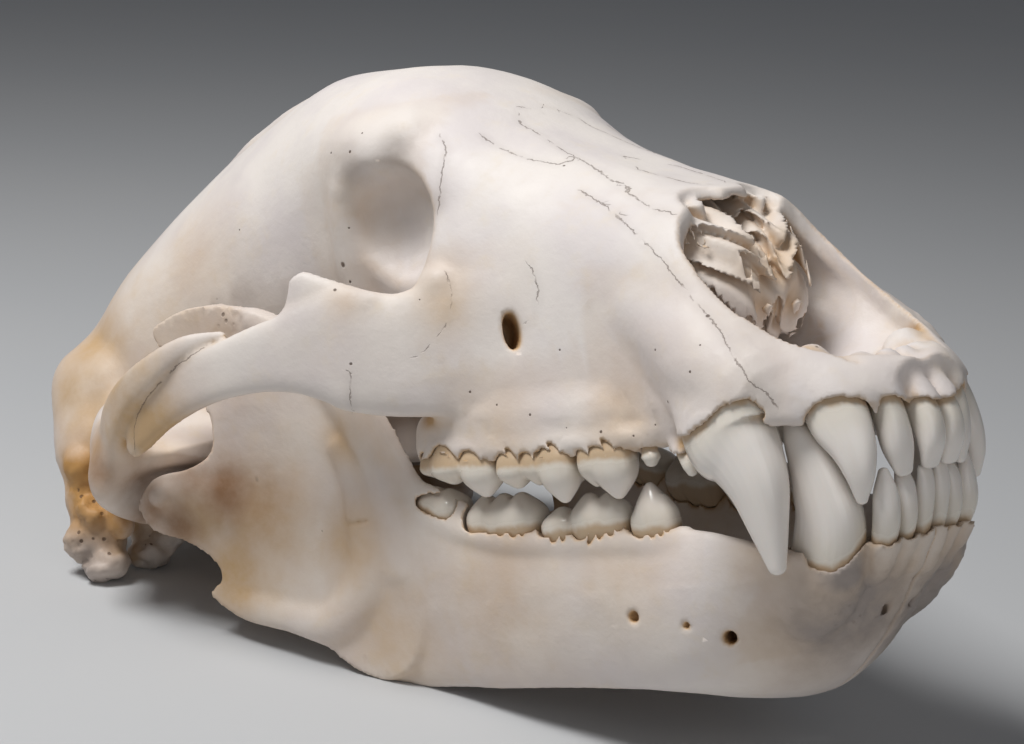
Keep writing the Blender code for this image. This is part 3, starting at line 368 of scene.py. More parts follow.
# Joint lines between the bones of the face, as places in the photo.
JOINT_LINES = [
    [(522, 107), (560, 117), (602, 130), (640, 170), (704, 185), (739, 205)],
    [(522, 107), (519, 117), (520, 123), (535, 131), (560, 148), (600, 170), (640, 194)],
    [
        (482, 136), (500, 148), (521, 156), (535, 160), (558, 164), (570, 160), (582, 160), (594, 167),
        (611, 180), (631, 195), (653, 209), (672, 213),
    ],
    [
        (582, 191), (602, 204), (623, 221), (642, 240), (661, 259), (675, 277), (692, 299), (708, 316),
        (719, 328), (728, 347), (740, 366), (751, 384), (767, 393), (776, 407),
    ],
    [(440, 135), (447, 150), (442, 175), (438, 210)],
    [(447, 275), (452, 296), (450, 310), (444, 330), (420, 356), (352, 372), (350, 392), (352, 408)],
    [(528, 262), (536, 280), (540, 300), (532, 318), (520, 330)],
    [(330, 365), (352, 372), (372, 366)],
    [
        (135, 450), (134, 433), (138, 416), (146, 399), (160, 382), (175, 367), (190, 357), (204, 348),
        (215, 342),
    ],
]

# Single small holes, painted dark as the shade inside them: place in the photo and radius in millimetres.
PORES = [
    (331, 153, 0.5), (350, 152, 0.62), (362, 133, 0.43), (343, 265, 1.12), (350, 282, 0.62),
    (564, 165, 0.56), (708, 316, 0.74), (335, 290, 0.62), (349, 228, 0.43), (420, 300, 0.43),
    (470, 392, 0.5), (497, 405, 0.43), (530, 415, 0.5), (566, 428, 0.43), (601, 432, 0.56),
    (634, 436, 0.5), (655, 425, 0.43), (668, 402, 0.5), (690, 372, 0.5), (655, 350, 0.43),
    (700, 345, 0.37), (860, 590, 0.56), (838, 575, 0.5), (870, 612, 0.43), (912, 560, 0.5),
    (900, 575, 0.43), (595, 565, 0.37), (351, 364, 0.56), (240, 230, 0.43), (560, 350, 0.43),
]


def smooth_curve(points, samples, closed=False):
    """Points along a Catmull-Rom curve through the given ones."""
    points = np.asarray(points, float)
    if closed:
        before, start, end, after = (np.roll(points, shift, axis=0) for shift in (1, 0, -1, -2))
    else:
        ends = np.vstack([2 * points[0] - points[1], points, 2 * points[-1] - points[-2]])
        before, start, end, after = ends[:-3], ends[1:-2], ends[2:-1], ends[3:]
    along = np.linspace(0, len(start), samples, endpoint=not closed)
    span = np.minimum(along.astype(int), len(start) - 1)
    t = (along - span)[:, None]
    a, b, c, d = before[span], start[span], end[span], after[span]
    return 0.5 * (2 * b + (c - a) * t + (2 * a - 5 * b + 4 * c - d) * t**2 + (3 * b - a - 3 * c + d) * t**3)


def outward_facing(verts, tris):
    """The closed mesh with its triangles turned so that they face outward."""
    corners = verts[tris]
    volume = np.einsum("ij,ij->i", corners[:, 0], np.cross(corners[:, 1], corners[:, 2])).sum()
    return verts, tris if volume > 0 else tris[:, ::-1]


def skin(rings):
    """Closed mesh from rings of equal count: triangles along the sides and a fan over each end."""
    rings = np.asarray(rings, float)
    rows, count = rings.shape[:2]
    here = np.arange(count)
    there = (here + 1) % count
    tris = []
    for row in range(rows - 1):
        a, b = row * count + here, row * count + there
        tris += [np.stack([a, b, b + count], 1), np.stack([a, b + count, a + count], 1)]
    first = rows * count
    last = (rows - 1) * count
    tris.append(np.stack([there, here, np.full(count, first)], 1))
    tris.append(np.stack([last + here, last + there, np.full(count, first + 1)], 1))
    verts = np.vstack([rings.reshape(-1, 3), rings[0].mean(0), rings[-1].mean(0)])
    return outward_facing(verts, np.vstack(tris))


def both_halves(half):
    """A closed section from a half one, mirrored over the midline."""
    half[0, 0] = half[-1, 0] = 0
    return np.vstack([half, half[-2:0:-1] * [-1, 1]])


def loft(stations, count=48, steps=6, closed=np.asarray):
    """Skin through sections (y, z) at their x, each closed by the given call."""
    rows = np.array([[x, *np.ravel(outline)] for x, outline in stations], float)
    rings = []
    for row in smooth_curve(rows, (len(rows) - 1) * steps + 1):
        outline = smooth_curve(closed(row[1:].reshape(-1, 2)), count, closed=True)
        rings.append(np.column_stack([np.full(count, row[0]), outline]))
    return skin(rings)


def super_ellipse(count, power):
    """Cosine and sine of a ring whose corners fill out as the power rises."""
    angle = np.linspace(0, 2 * np.pi, count, endpoint=False)
    c, s = np.cos(angle), np.sin(angle)
    return np.sign(c) * np.abs(c) ** (2 / power), np.sign(s) * np.abs(s) ** (2 / power)


def tube(stations, up=ALONG_Z, count=24, steps=8, power=2.0):
    """Round-ended rod through (x, y, z, half width, half height)."""
    path = smooth_curve(stations, (len(stations) - 1) * steps + 1)
    middle = path[:, :3]
    heading = np.gradient(middle, axis=0)
    heading /= np.linalg.norm(heading, axis=1)[:, None]
    side = np.cross(heading, np.asarray(up, float))
    side /= np.linalg.norm(side, axis=1)[:, None]
    lift = np.cross(side, heading)
    c, s = super_ellipse(count, power)
    wide = side[:, None] * (np.maximum(path[:, 3], THINNEST)[:, None] * c)[..., None]
    high = lift[:, None] * (np.maximum(path[:, 4], THINNEST)[:, None] * s)[..., None]
    rings = list(middle[:, None] + wide + high)

    def cap(end, inner):
        outward = middle[end] - middle[inner]
        reach = outward / np.linalg.norm(outward) * min(path[end, 3], path[end, 4]) * CAP_REACH
        ring = rings[end] - middle[end]
        return [middle[end] + reach * f + ring * math.sqrt(1 - f * f) for f in CAP_STEPS]

    front, back = cap(0, 1), cap(-1, -2)
    return skin(front[::-1] + rings + back)


def ball(center, radii, turn=(0, 0, 0), count=32):
    """Ellipsoid, turned about X, Y and Z in degrees."""
    around = np.linspace(0, 2 * np.pi, count, endpoint=False)
    turned = np.array(
        Matrix.Rotation(math.radians(turn[2]), 3, "Z")
        @ Matrix.Rotation(math.radians(turn[1]), 3, "Y")
        @ Matrix.Rotation(math.radians(turn[0]), 3, "X")
    )
    rings = []
    for polar in np.linspace(0.06, np.pi - 0.06, count // 2):
        level = np.sin(polar) * np.array([np.cos(around), np.sin(around)])
        rings.append(np.column_stack([*level, np.full(count, np.cos(polar))]) * radii @ turned.T + center)
    return skin(rings)


def plate(outline, middle, thickness, cell=3.0, rim=160):
    """Upright plate: a filled side outline (x, z), given a middle and a thickness at each point."""
    edge = smooth_curve(outline, rim, closed=True)
    xs = np.arange(edge[:, 0].min() + cell / 2, edge[:, 0].max(), cell)
    zs = np.arange(edge[:, 1].min() + cell / 2, edge[:, 1].max(), cell)
    grid = np.array([(x, z) for x in xs for z in zs])
    clear = np.sqrt(((grid[:, None] - edge[None]) ** 2).sum(-1)).min(1) > cell * 0.5
    points = [Vector(p) for p in np.vstack([edge, grid[clear]])]
    flat, _, faces, *_ = delaunay_2d_cdt(points, [], [list(range(rim))], 1, 1e-5)
    flat = np.array([tuple(p) for p in flat])
    faces = np.array([list(face) for face in faces])
    x, z = flat.T
    y, half = middle(x, z), thickness(x) / 2
    count = len(flat)
    verts = np.vstack([np.column_stack([x, y + half, z]), np.column_stack([x, y - half, z])])
    sides = [faces, faces[:, ::-1] + count]
    directed = {(a, b) for face in faces for a, b in zip(face, np.roll(face, -1))}
    border = np.array([(a, b) for a, b in directed if (b, a) not in directed])
    a, b = border.T
    sides += [np.stack([b, a, a + count], 1), np.stack([b, a + count, b + count], 1)]
    return outward_facing(verts, np.vstack(sides))


def soft_minimum(a, b, blend):
    """The lower of two values, rounded where they meet."""
    if blend <= 0:
        return np.minimum(a, b)
    share = np.clip(0.5 + 0.5 * (b - a) / blend, 0, 1)
    return b + (a - b) * share - blend * share * (1 - share)


def whole_cells(low, high, cell):
    """The first and last cell of a box, as counts of cells from the origin."""
    return np.floor(np.asarray(low) / cell).astype(int), np.ceil(np.asarray(high) / cell).astype(int)


class Field:
    """Distances to a surface on a grid: below zero inside it. Forms are added, and cut away, one by one."""

    def __init__(self, cells, cell, reach):
        self.cell = cell
        self.reach = reach
        self.low, self.high = cells
        self.values = np.full(self.high - self.low + 1, reach * cell, np.float32)

    def part(self, low, high):
        """Where the cells from one corner to another lie in this field."""
        return tuple(slice(int(a), int(b) + 1) for a, b in zip(low - self.low, high - self.low))

    def form(self, mesh):
        """The distances to one closed mesh, and where they lie in this field."""
        verts, tris = mesh
        grid = openvdb.FloatGrid.createLevelSetFromPolygons(
            np.ascontiguousarray(verts, np.float64),
            triangles=np.ascontiguousarray(tris, np.uint32),
            transform=openvdb.createLinearTransform(self.cell),
            halfWidth=self.reach,
        )
        low, high = whole_cells(verts.min(0), verts.max(0), self.cell)
        low = np.maximum(low - self.reach - 1, self.low)
        high = np.minimum(high + self.reach + 1, self.high)
        values = np.full(high - low + 1, self.reach * self.cell, np.float32)
        grid.copyToArray(values, ijk=tuple(int(i) for i in low))
        return values, self.part(low, high)

    def add(self, mesh, blend=0.0):
        values, place = self.form(mesh)
        self.values[place] = soft_minimum(self.values[place], values, blend)

    def cut(self, mesh, blend=0.0):
        values, place = self.form(mesh)
        self.values[place] = -soft_minimum(-self.values[place], values, blend)

    def points(self, place=None):
        """The x, y and z of the field's cells as three arrays that broadcast."""
        place = place or tuple(slice(0, n) for n in self.values.shape)
        axes = [(np.arange(s.start, s.stop) + low) * self.cell for s, low in zip(place, self.low)]
        return np.ix_(*axes)

    def sample(self, points):
        """Values between the cells at these points."""
        spot = np.clip(points / self.cell - self.low, 0, np.array(self.values.shape) - 1.001)
        first = spot.astype(int)
        share = spot - first
        total = np.zeros(len(points))
        for i, j, k in np.ndindex(2, 2, 2):
            weight = np.prod(np.where([i, j, k], share, 1 - share), axis=1)
            total += weight * self.values[tuple((first + [i, j, k]).T)]
        return total

    def surface(self, both_sides=False):
        """Vertices and quads of the surface."""
        values, low = self.values, self.low.copy()
        if both_sides:
            middle = -low[1]
            left = values[:, middle:, :]
            values = np.concatenate([left[:, :0:-1, :], left], 1)
            low[1] = -(left.shape[1] - 1)
        grid = openvdb.FloatGrid(float(self.reach * self.cell))
        grid.copyFromArray(np.ascontiguousarray(values), ijk=tuple(int(i) for i in low))
        grid.transform = openvdb.createLinearTransform(self.cell)
        verts, quads = grid.convertToQuads(0.0)
        return np.array(verts, float), np.array(quads, int)


def core_forms(field):
    """Brain case and snout, tooth row ridge and palate."""
    field.add(loft(SKULL_SECTIONS, 64, 8, both_halves))
    field.add(tube([
        (-100, 40, 10, 9, 10), (-130, 44, 11, 11, 12), (-155, 47, 12, 12, 13), (-176, 48, 12, 11, 12),
        (-184, 44, 13, 7, 8),
    ], power=2.6), 7)
    field.add(loft([
        (-130, [(0, 18), (34, 18), (36, 8), (20, 9), (0, 11), (-6, 14)]),
        (-170, [(0, 20), (34, 20), (38, 8), (20, 9), (0, 12), (-6, 15)]),
        (-204, [(0, 22), (20, 22), (26, 12), (16, 11), (0, 14), (-6, 16)]),
    ]), 5)


def tooth_row_rim(field):
    """The edge of the bone along the outer side of the cheek teeth."""
    field.add(tube([
        (-80, 41, 5.5, 3, 4), (-90, 44.6, 4.6, 3.2, 4), (-101, 47.4, 4.4, 3.4, 4), (-113, 50, 4.6, 3.4, 4),
        (-126, 53, 5.2, 3.4, 4), (-140, 55.4, 6.4, 3.4, 4), (-153, 57, 7.8, 3.4, 4),
        (-167, 57, 8.6, 3.4, 4), (-179, 55, 9.6, 3.2, 4), (-184, 50, 10.6, 3, 3.4),
    ]), 3)


def eye_socket_forms(field):
    field.cut(ball((-185, 83, 88.5), (34, 46, 33), (0, -10, 0)), 3)
    field.cut(ball((-222, 106, 76), (32, 52, 36)), 5)


def arch_forms(field):
    """Cheek bone, the hook at the back of the eye socket, and the rear arm of the arch."""
    field.add(tube([
        (-138, 44, 44, 8, 22), (-156, 56, 43, 8, 23), (-172, 67, 43.5, 7, 21), (-184, 78.5, 48, 6.2, 20.5),
        (-193, 84, 49.6, 5.6, 17), (-202, 89, 50.4, 5, 14), (-214, 94.5, 50.2, 4.4, 11.6),
        (-230, 100, 48.6, 4, 9.8), (-246, 104.5, 46, 3.8, 10.2), (-260, 107, 42, 3.6, 10.6),
        (-269, 108, 36.4, 3.4, 9), (-276, 108.3, 30.6, 3, 6.4), (-280, 108.4, 26.4, 2.4, 3.6),
    ], power=3, steps=6), 5)
    field.add(tube([
        (-190, 82, 57, 20, 3.4), (-192.5, 83.6, 65, 14.5, 3.2), (-194.4, 84.8, 71, 8, 2.8),
        (-195.4, 85.6, 74.6, 4.4, 2.0),
    ], up=(0.5, 0.866, 0)), 4)
    field.add(ball((-157, 58, 66), (5, 3.4, 3.6)), 6)
    field.add(tube([
        (-338, 62, 36, 10, 15), (-328, 80, 30, 9, 16), (-316, 92, 26, 8, 15),
        (-302, 101.5, 28.5, 6.4, 12.5), (-289, 108, 37, 5, 9), (-276, 110.6, 45.4, 4, 7),
        (-262, 111, 50.8, 3.6, 6), (-250.5, 109, 55.8, 3.2, 4.8), (-243, 105.4, 58.8, 2.8, 3.8),
        (-236, 101.4, 60.2, 2.2, 2.8), (-228, 98, 60.8, 1.6, 1.6),
    ], steps=6, power=2.6), 1.2)


def jaw_socket_forms(field):
    """Root of the arch over the jaw joint, and the ridge behind the joint."""
    field.add(loft([
        (-344, [(48, 48), (76, 46), (84, 36), (83, 18), (70, 6), (48, 6)]),
        (-326, [(48, 50), (82, 46), (95, 38), (97, 16), (86, 3), (48, 4)]),
        (-312, [(48, 44), (88, 40), (104, 33), (108, 16), (98, 8), (48, 10)]),
        (-297, [(46, 34), (84, 31), (104, 29), (108, 22), (98, 17), (46, 17)]),
        (-284, [(44, 27), (70, 25), (86, 24.5), (88, 22), (72, 18), (44, 18)]),
    ]), 6)
    field.add(tube([
        (-306, 106, 17, 6, 9), (-312, 96, 11, 6.5, 9), (-315, 78, 5, 6.5, 9), (-315, 58, 5, 6.5, 9),
    ]), 6)


def crest_forms(field):
    """Brow corners, the ridge behind each eye socket, the nape crest and the ridge along the top."""
    field.add(tube([(-184, 35, 118, 15, 9), (-195, 43.5, 114, 11, 8), (-202, 49, 109, 5, 5)]), 7)
    field.add(tube([
        (-206, 51.5, 104, 3, 4), (-211, 50, 90, 3.6, 5), (-214, 46, 70, 4, 5), (-213, 41, 48, 4, 4),
    ], up=ALONG_X), 6)
    field.add(tube([
        (-384, 0, 112, 5, 7), (-378, 22, 101, 4.4, 7), (-370, 40, 86, 4, 7), (-363, 57, 74, 3.6, 7),
        (-361, 70, 67, 3.4, 9), (-363, 79, 60, 3.4, 11), (-361, 83, 47, 4.4, 12), (-356, 84, 30, 8, 14),
    ], up=(-1, 0, 0.2), steps=6), 5)
    field.add(tube([
        (-272, 0, 145, 2, 3), (-300, 0, 143, 2.6, 3.8), (-330, 0, 135.6, 3.2, 4), (-362, 0, 124, 3.4, 4.5),
        (-384, 0, 114, 4, 6),
    ]), 7)


def base_forms(field):
    """Back and underside: processes behind the ear, condyles, ear capsules, plates behind the palate."""
    field.add(loft([
        (-376, [(30, 70), (56, 70), (70, 56), (68, 30), (50, 16), (30, 20)]),
        (-367, [(30, 76), (60, 74), (80, 58), (81, 30), (60, 12), (30, 12)]),
        (-359, [(30, 70), (60, 68), (78, 52), (80, 28), (62, 9), (30, 9)]),
    ]), 6)
    field.add(tube([
        (-358, 80, 34, 10, 13), (-354, 84, 12, 10, 11.5), (-351, 86, -6, 9.5, 10.5), (-350, 86, -13, 8, 9),
    ], up=ALONG_X), 7)
    field.add(tube([
        (-368, 52, 20, 9, 9), (-360, 58, 6, 8.5, 8.5), (-353, 62, -8, 7.5, 8), (-350, 63, -16, 6.5, 7),
    ], up=ALONG_X), 6)
    field.add(ball((-348, 62, 8), (11, 11, 10)), 6)
    field.add(ball((-351, 72, 50), (13, 10, 15)), 7)
    for lump in MASTOID_LUMPS:
        field.add(ball(*lump), 2.5)
    field.add(ball((-392, 23, 16), (13, 11, 17), (0, 20, -18)), 5)
    field.add(loft([
        (-215, [(-6, 34), (12, 34), (15, 28), (10, 23), (0, 22), (-6, 23)]),
        (-290, [(-6, 30), (18, 30), (20, 20), (12, 15), (0, 14), (-6, 15)]),
        (-380, [(-6, 24), (24, 24), (26, 14), (14, 6), (0, 6), (-6, 7)]),
    ]), 6)
    field.add(ball((-336, 36, 11), (22, 17, 13), (0, 0, 20)), 6)
    field.add(tube([
        (-196, 24, 20, 3.4, 10), (-220, 22, 18, 3, 13), (-244, 21, 18, 2.8, 13), (-256, 22, 12, 2.4, 8),
    ], power=2.6), 5)


def canine_swelling(field):
    field.add(tube([
        (-42, 40, 13, 12.5, 14), (-54, 40, 22, 12.5, 14.5), (-68, 37.5, 32, 10.5, 12), (-84, 35, 44, 7, 8),
    ]), 7)


def nose_forms(field):
    """Nose opening, the passage behind it, and the hollow for the tip of each lower canine."""
    opening = [(4, [(-20, 60), (8, 60), (12, 30), (12, 22), (6, NOSE_FLOOR), (-6, NOSE_FLOOR)])]
    for x, w, z in NOSE_RIM:
        wall = [(-20, z + 40), (w - 1, z + 40), (w + 0.5, z + 2), (w - 1.5, max(z - 9, NOSE_FLOOR + 2))]
        opening.append((x, wall + [(w * 0.55, NOSE_FLOOR), (-6, NOSE_FLOOR)]))
    field.cut(loft(opening, steps=4), 1.5)
    field.cut(loft([
        (-36, [(-10, 52), (16, 52), (28, 44), (31, 32), (19, 20), (-6, 19)]),
        (-60, [(-10, 66), (15, 65), (26, 58), (34, 40), (20, 21), (-6, 20)]),
        (-72, [(-10, 74), (15, 72.5), (25, 65), (35, 44), (20, 22), (-6, 22)]),
        (-86, [(-10, 79), (13, 78), (24, 69), (33, 50), (20, 24), (-6, 24)]),
        (-110, [(-10, 87), (12, 85), (23, 75), (31, 54), (20, 28), (-6, 28)]),
        (-128, [(-10, 87), (10, 85), (19, 75), (25, 56), (16, 34), (-6, 34)]),
    ]), 1.5)
    field.cut(ball((-64, 14, 80), (13, 9.5, 13), (0, 0, -12)), 1.5)
    field.cut(ball((-33.5, 33, 1), (7.4, 7, 9)), 1.5)


def opening_forms(field):
    """Foramen below the eye, ear canal and the spinal opening."""
    field.cut(tube([
        (-116, 60, 46, 2.4, 6.5), (-129, 52, 45, 2.4, 6.5), (-146, 42, 44, 3, 5),
    ], steps=4), 1.5)
    field.cut(tube([(-340, 112, 10, 5, 6), (-337, 80, 12, 4.5, 5.5), (-334, 56, 13, 4, 4)]), 4)
    field.cut(ball((-398, 0, 26), (26, 15, 11)), 3)


def scroll_forms(field):
    """Nasal scrolls: a folded lobe on each side wall, and the thin wall between them further back."""
    lobe = tube([
        (-66, 9, 39.5, 8, 13.5), (-76, 12, 49.5, 11, 20.5), (-94, 15, 56, 13, 25), (-124, 18, 60, 12, 22),
    ], power=2.4)
    values, place = field.form(lobe)
    x, y, z = field.points(place)
    lean = np.radians(np.interp(z, *zip(*SCROLL_LEAN)))
    across = (x + 70) * np.sin(lean) + (z - 48) * np.cos(lean)
    ripple = 0.1 * y + 1.0 * np.sin(0.23 * x + 0.45 * y) + 0.8 * np.sin(0.31 * z - 0.5 * y)
    wave = np.sin((across + SCROLL_RIPPLE * ripple) * math.pi / SCROLL_SPACING)
    folds = np.abs(wave) ** SCROLL_SHARPNESS
    values = values + (SCROLL_DEPTH * (folds - 0.5)).astype(np.float32)
    field.values[place] = soft_minimum(field.values[place], values, SCROLL_BLEND)
    wall = tube([(-84, 0, 44, 1.0, 20), (-100, 0, 56, 1.2, 30), (-126, 0, 62, 2, 28)], power=3)
    field.add(wall, SCROLL_BLEND)


def tooth_meshes(name):
    """The closed forms of the left tooth, and how far each blends into the ones before it."""
    if name in SIMPLE_TEETH:
        turn, path = SIMPLE_TEETH[name]
        facing = (math.cos(math.radians(turn)), math.sin(math.radians(turn)), 0)
        return [(tube(path, up=facing, count=28, steps=8, power=2.3), 0)]
    center, gum, rise, turn, lobes = CHEEK_TEETH[name]
    up = -1 if name.startswith("upper") else 1
    turned = math.radians(turn)
    along = np.array([math.cos(turned), -math.sin(turned), 0.0])
    outward = np.array([math.sin(turned), math.cos(turned), 0.0])
    c, s = super_ellipse(32, 2.5)
    meshes = []
    for forward, aside, half_length, half_width, height in lobes:
        foot = np.array([*center, gum + rise * forward]) + along * forward + outward * aside
        rings = []
        for level, share in LOBE_ROOT + [(share_up * height, share) for share_up, share in LOBE_CROWN]:
            ring = along * (half_length * share * c)[:, None] + outward * (half_width * share * s)[:, None]
            rings.append(ring + foot + np.array([0, 0, up * level]))
        meshes.append((skin(smooth_rings(rings)), LOBE_BLEND))
    return meshes


def smooth_rings(rings, samples=30):
    """More rings along the smooth curve through the given ones."""
    rings = np.asarray(rings)
    return smooth_curve(rings.reshape(len(rings), -1), samples).reshape(samples, -1, 3)


def make_tooth_field(name):
    meshes = tooth_meshes(name)
    corners = np.vstack([verts for (verts, _), _ in meshes])
    cells = whole_cells(corners.min(0) - TOOTH_MARGIN, corners.max(0) + TOOTH_MARGIN, TOOTH_CELL)
    field = Field(cells, TOOTH_CELL, TOOTH_REACH)
    for mesh, blend in meshes:
        field.add(mesh, blend)
    return field


def gum_side(x, y, z, name):
    """How far a point lies past the edge of the bone around a tooth: below zero on the root's side."""
    if name in GUMS:
        (mid_x, mid_y), edges = GUMS[name]
        along = (x - mid_x) * math.cos(PICTURE_ROW) + (y - mid_y) * math.sin(PICTURE_ROW)
        edge = np.interp(along, *zip(*edges))
    else:
        (mid_x, mid_y), height, slope, turn, _ = CHEEK_TEETH[name]
        along = (x - mid_x) * math.cos(math.radians(turn)) - (y - mid_y) * math.sin(math.radians(turn))
        edge = height + slope * along
    return edge - z if name.startswith("upper") else z - edge


def seat_teeth(field, names):
    """Wraps the bone round each root, frees each crown, and cuts a socket larger than the tooth."""
    seats = []
    for name in names:
        meshes = tooth_meshes(name)
        whole = np.vstack([verts for (verts, _), _ in meshes])
        low, high = whole_cells(whole.min(0) - SOCKET_MARGIN, whole.max(0) + SOCKET_MARGIN, field.cell)
        low, high = np.maximum(low, field.low), np.minimum(high, field.high)
        tooth = Field((low, high), field.cell, REACH)
        for mesh, blend in meshes:
            tooth.add(mesh, blend)
        place = field.part(low, high)
        width = COLLAR if name in GUMS else CHEEK_COLLAR
        seats.append((tooth.values, place, gum_side(*field.points(place), name).astype(np.float32), width))
    for tooth, place, side, width in seats:
        collar = np.maximum(tooth - width, side)
        field.values[place] = soft_minimum(field.values[place], collar, COLLAR_BLEND)
    for tooth, place, side, _ in seats:
        crown = np.maximum(tooth - CLEARANCE, -side)
        field.values[place] = -soft_minimum(-field.values[place], crown, CROWN_BLEND)
    for tooth, place, _, _ in seats:
        field.values[place] = np.maximum(field.values[place], SOCKET_GAP - tooth)


def cranium_field():
    field = Field(whole_cells((-412, -2 * BONE_CELL, -34), (8, 130, 162), BONE_CELL), BONE_CELL, REACH)
    for step in (
        core_forms, tooth_row_rim, eye_socket_forms, arch_forms, jaw_socket_forms, crest_forms, base_forms,
        canine_swelling, nose_forms, opening_forms, scroll_forms,
    ):
        step(field)
    seat_teeth(field, [name for name in ALL_TEETH if name.startswith("upper")])
    rest_flat(field)
    return field


def rest_flat(field):
    """Cuts the field flat at the surface that the skull rests on."""
    x, _, z = field.points()
    height = x * math.sin(REST_PITCH) + z * math.cos(REST_PITCH) + REST_LIFT
    field.values = np.maximum(field.values, -height.astype(np.float32))


def ramus_middle(x, z):
    """Middle of the upright plate: it leans, turns inward at the back and is hollowed on its outer side."""
    inward = np.clip(-8 - z, 0, 20) * np.interp(x, [-290, -280], [0.6, 0])
    hollow = 5.5 * np.exp(-(((x + 238) / 20) ** 2) - ((z - 2) / 27) ** 2)
    return np.interp(x, *zip(*RAMUS_MIDDLE)) + 0.02 * z - inward - hollow


def ramus_thickness(x):
    return np.interp(x, *zip(*RAMUS_THICKNESS))


def mandible_field():
    """The left half of the lower jaw."""
    field = Field(whole_cells((-312, -6, -96), (2, 116, 84), JAW_CELL), JAW_CELL, REACH)
    field.add(loft(JAW_SECTIONS, steps=8))
    field.add(plate(RAMUS_OUTLINE, ramus_middle, ramus_thickness), 4)
    field.add(tube([
        (-201, 59.5, -30, 3.6, 6), (-199, 60, -14, 4.2, 6), (-201, 62.5, 8, 4.6, 5),
        (-208, 65.5, 28, 4.2, 5), (-221, 70, 50, 3.6, 4.4), (-240, 76, 64, 3, 3.6),
    ], up=(1, 0, 0.3)), 5)
    field.add(tube([
        (-214, 66, 16, 2.4, 4), (-210, 65, 0, 3, 5), (-210, 65, -20, 3.4, 6), (-215, 66.5, -36, 4, 7),
        (-229, 71.5, -46, 4, 6), (-248, 77, -42, 3.6, 5), (-264, 80, -37, 3.4, 4.5),
        (-275, 80.5, -33, 3, 3.5),
    ]), 4)
    field.add(tube([(-264, 80, 0, 6, 10), (-278, 85.5, 5, 6, 7.5), (-287, 91, 7.5, 5.5, 5.5)]), 5)
    field.add(tube([
        (-286, 97, 8, 4.6, 4.2), (-290, 88, 8.5, 6.6, 6.4), (-294, 74, 8, 7, 7), (-295, 58, 7, 5.5, 5.5),
    ]), 3)
    field.add(tube([(-256, 76, -38, 5, 5), (-269, 79, -35, 4, 4), (-278, 80, -30.5, 2.8, 3)]), 3)
    field.add(tube([(-37, 27.5, -49, 8, 9), (-46, 25, -57, 8, 10)]), 7)
    field.cut(ball((-246, 98, 8), (30, 22, 34), (0, 0, -14)), 6)
    field.add(tube([
        (-80, 36.5, -30.4, 3, 4), (-92, 40, -30, 3, 4), (-105, 42.8, -28.6, 3, 4),
        (-118, 45.2, -27.6, 3, 4), (-135, 49, -26, 3, 4), (-151, 52.2, -23.6, 3, 4),
        (-165, 54.2, -19.8, 3, 4), (-178, 55.2, -15, 3, 4), (-190, 56, -9, 3, 4),
    ]), 3)
    for foramen in JAW_FORAMINA:
        field.cut(tube(foramen), 1)
    _, y, _ = field.points()
    field.values = np.maximum(field.values, (CHIN_GAP / 2 - y).astype(np.float32))
    seat_teeth(field, [name for name in ALL_TEETH if name.startswith("lower")])
    rest_flat(field)
    return field


def show(name, data):
    """A new object in the scene."""
    obj = bpy.data.objects.new(name, data)
    bpy.context.scene.collection.objects.link(obj)
    return obj


def new_object(name, verts, faces):
    """A shown object from vertices in the skull's own frame."""
    mesh = bpy.data.meshes.new(name)
    corners = faces.shape[1]
    mesh.vertices.add(len(verts))
    mesh.loops.add(faces.size)
    mesh.polygons.add(len(faces))
    mesh.vertices.foreach_set("co", verts.astype(np.float32).ravel())
    mesh.loops.foreach_set("vertex_index", faces.astype(np.int32).ravel())
    mesh.polygons.foreach_set("loop_start", np.arange(0, faces.size, corners, dtype=np.int32))
    mesh.update(calc_edges=True)
    mesh.shade_smooth()
    return show(name, mesh)


def thin_out(obj, triangles):
    """Reduces the surface to this many triangles where it has more."""
    now = sum(len(face.vertices) - 2 for face in obj.data.polygons)
    if now <= triangles:
        return
    decimate = obj.modifiers.new("Thin out", "DECIMATE")
    decimate.ratio = triangles / now
    graph = bpy.context.evaluated_depsgraph_get()
    mesh = bpy.data.meshes.new_from_object(obj.evaluated_get(graph))
    obj.modifiers.clear()
    obj.data = mesh
    mesh.shade_smooth()


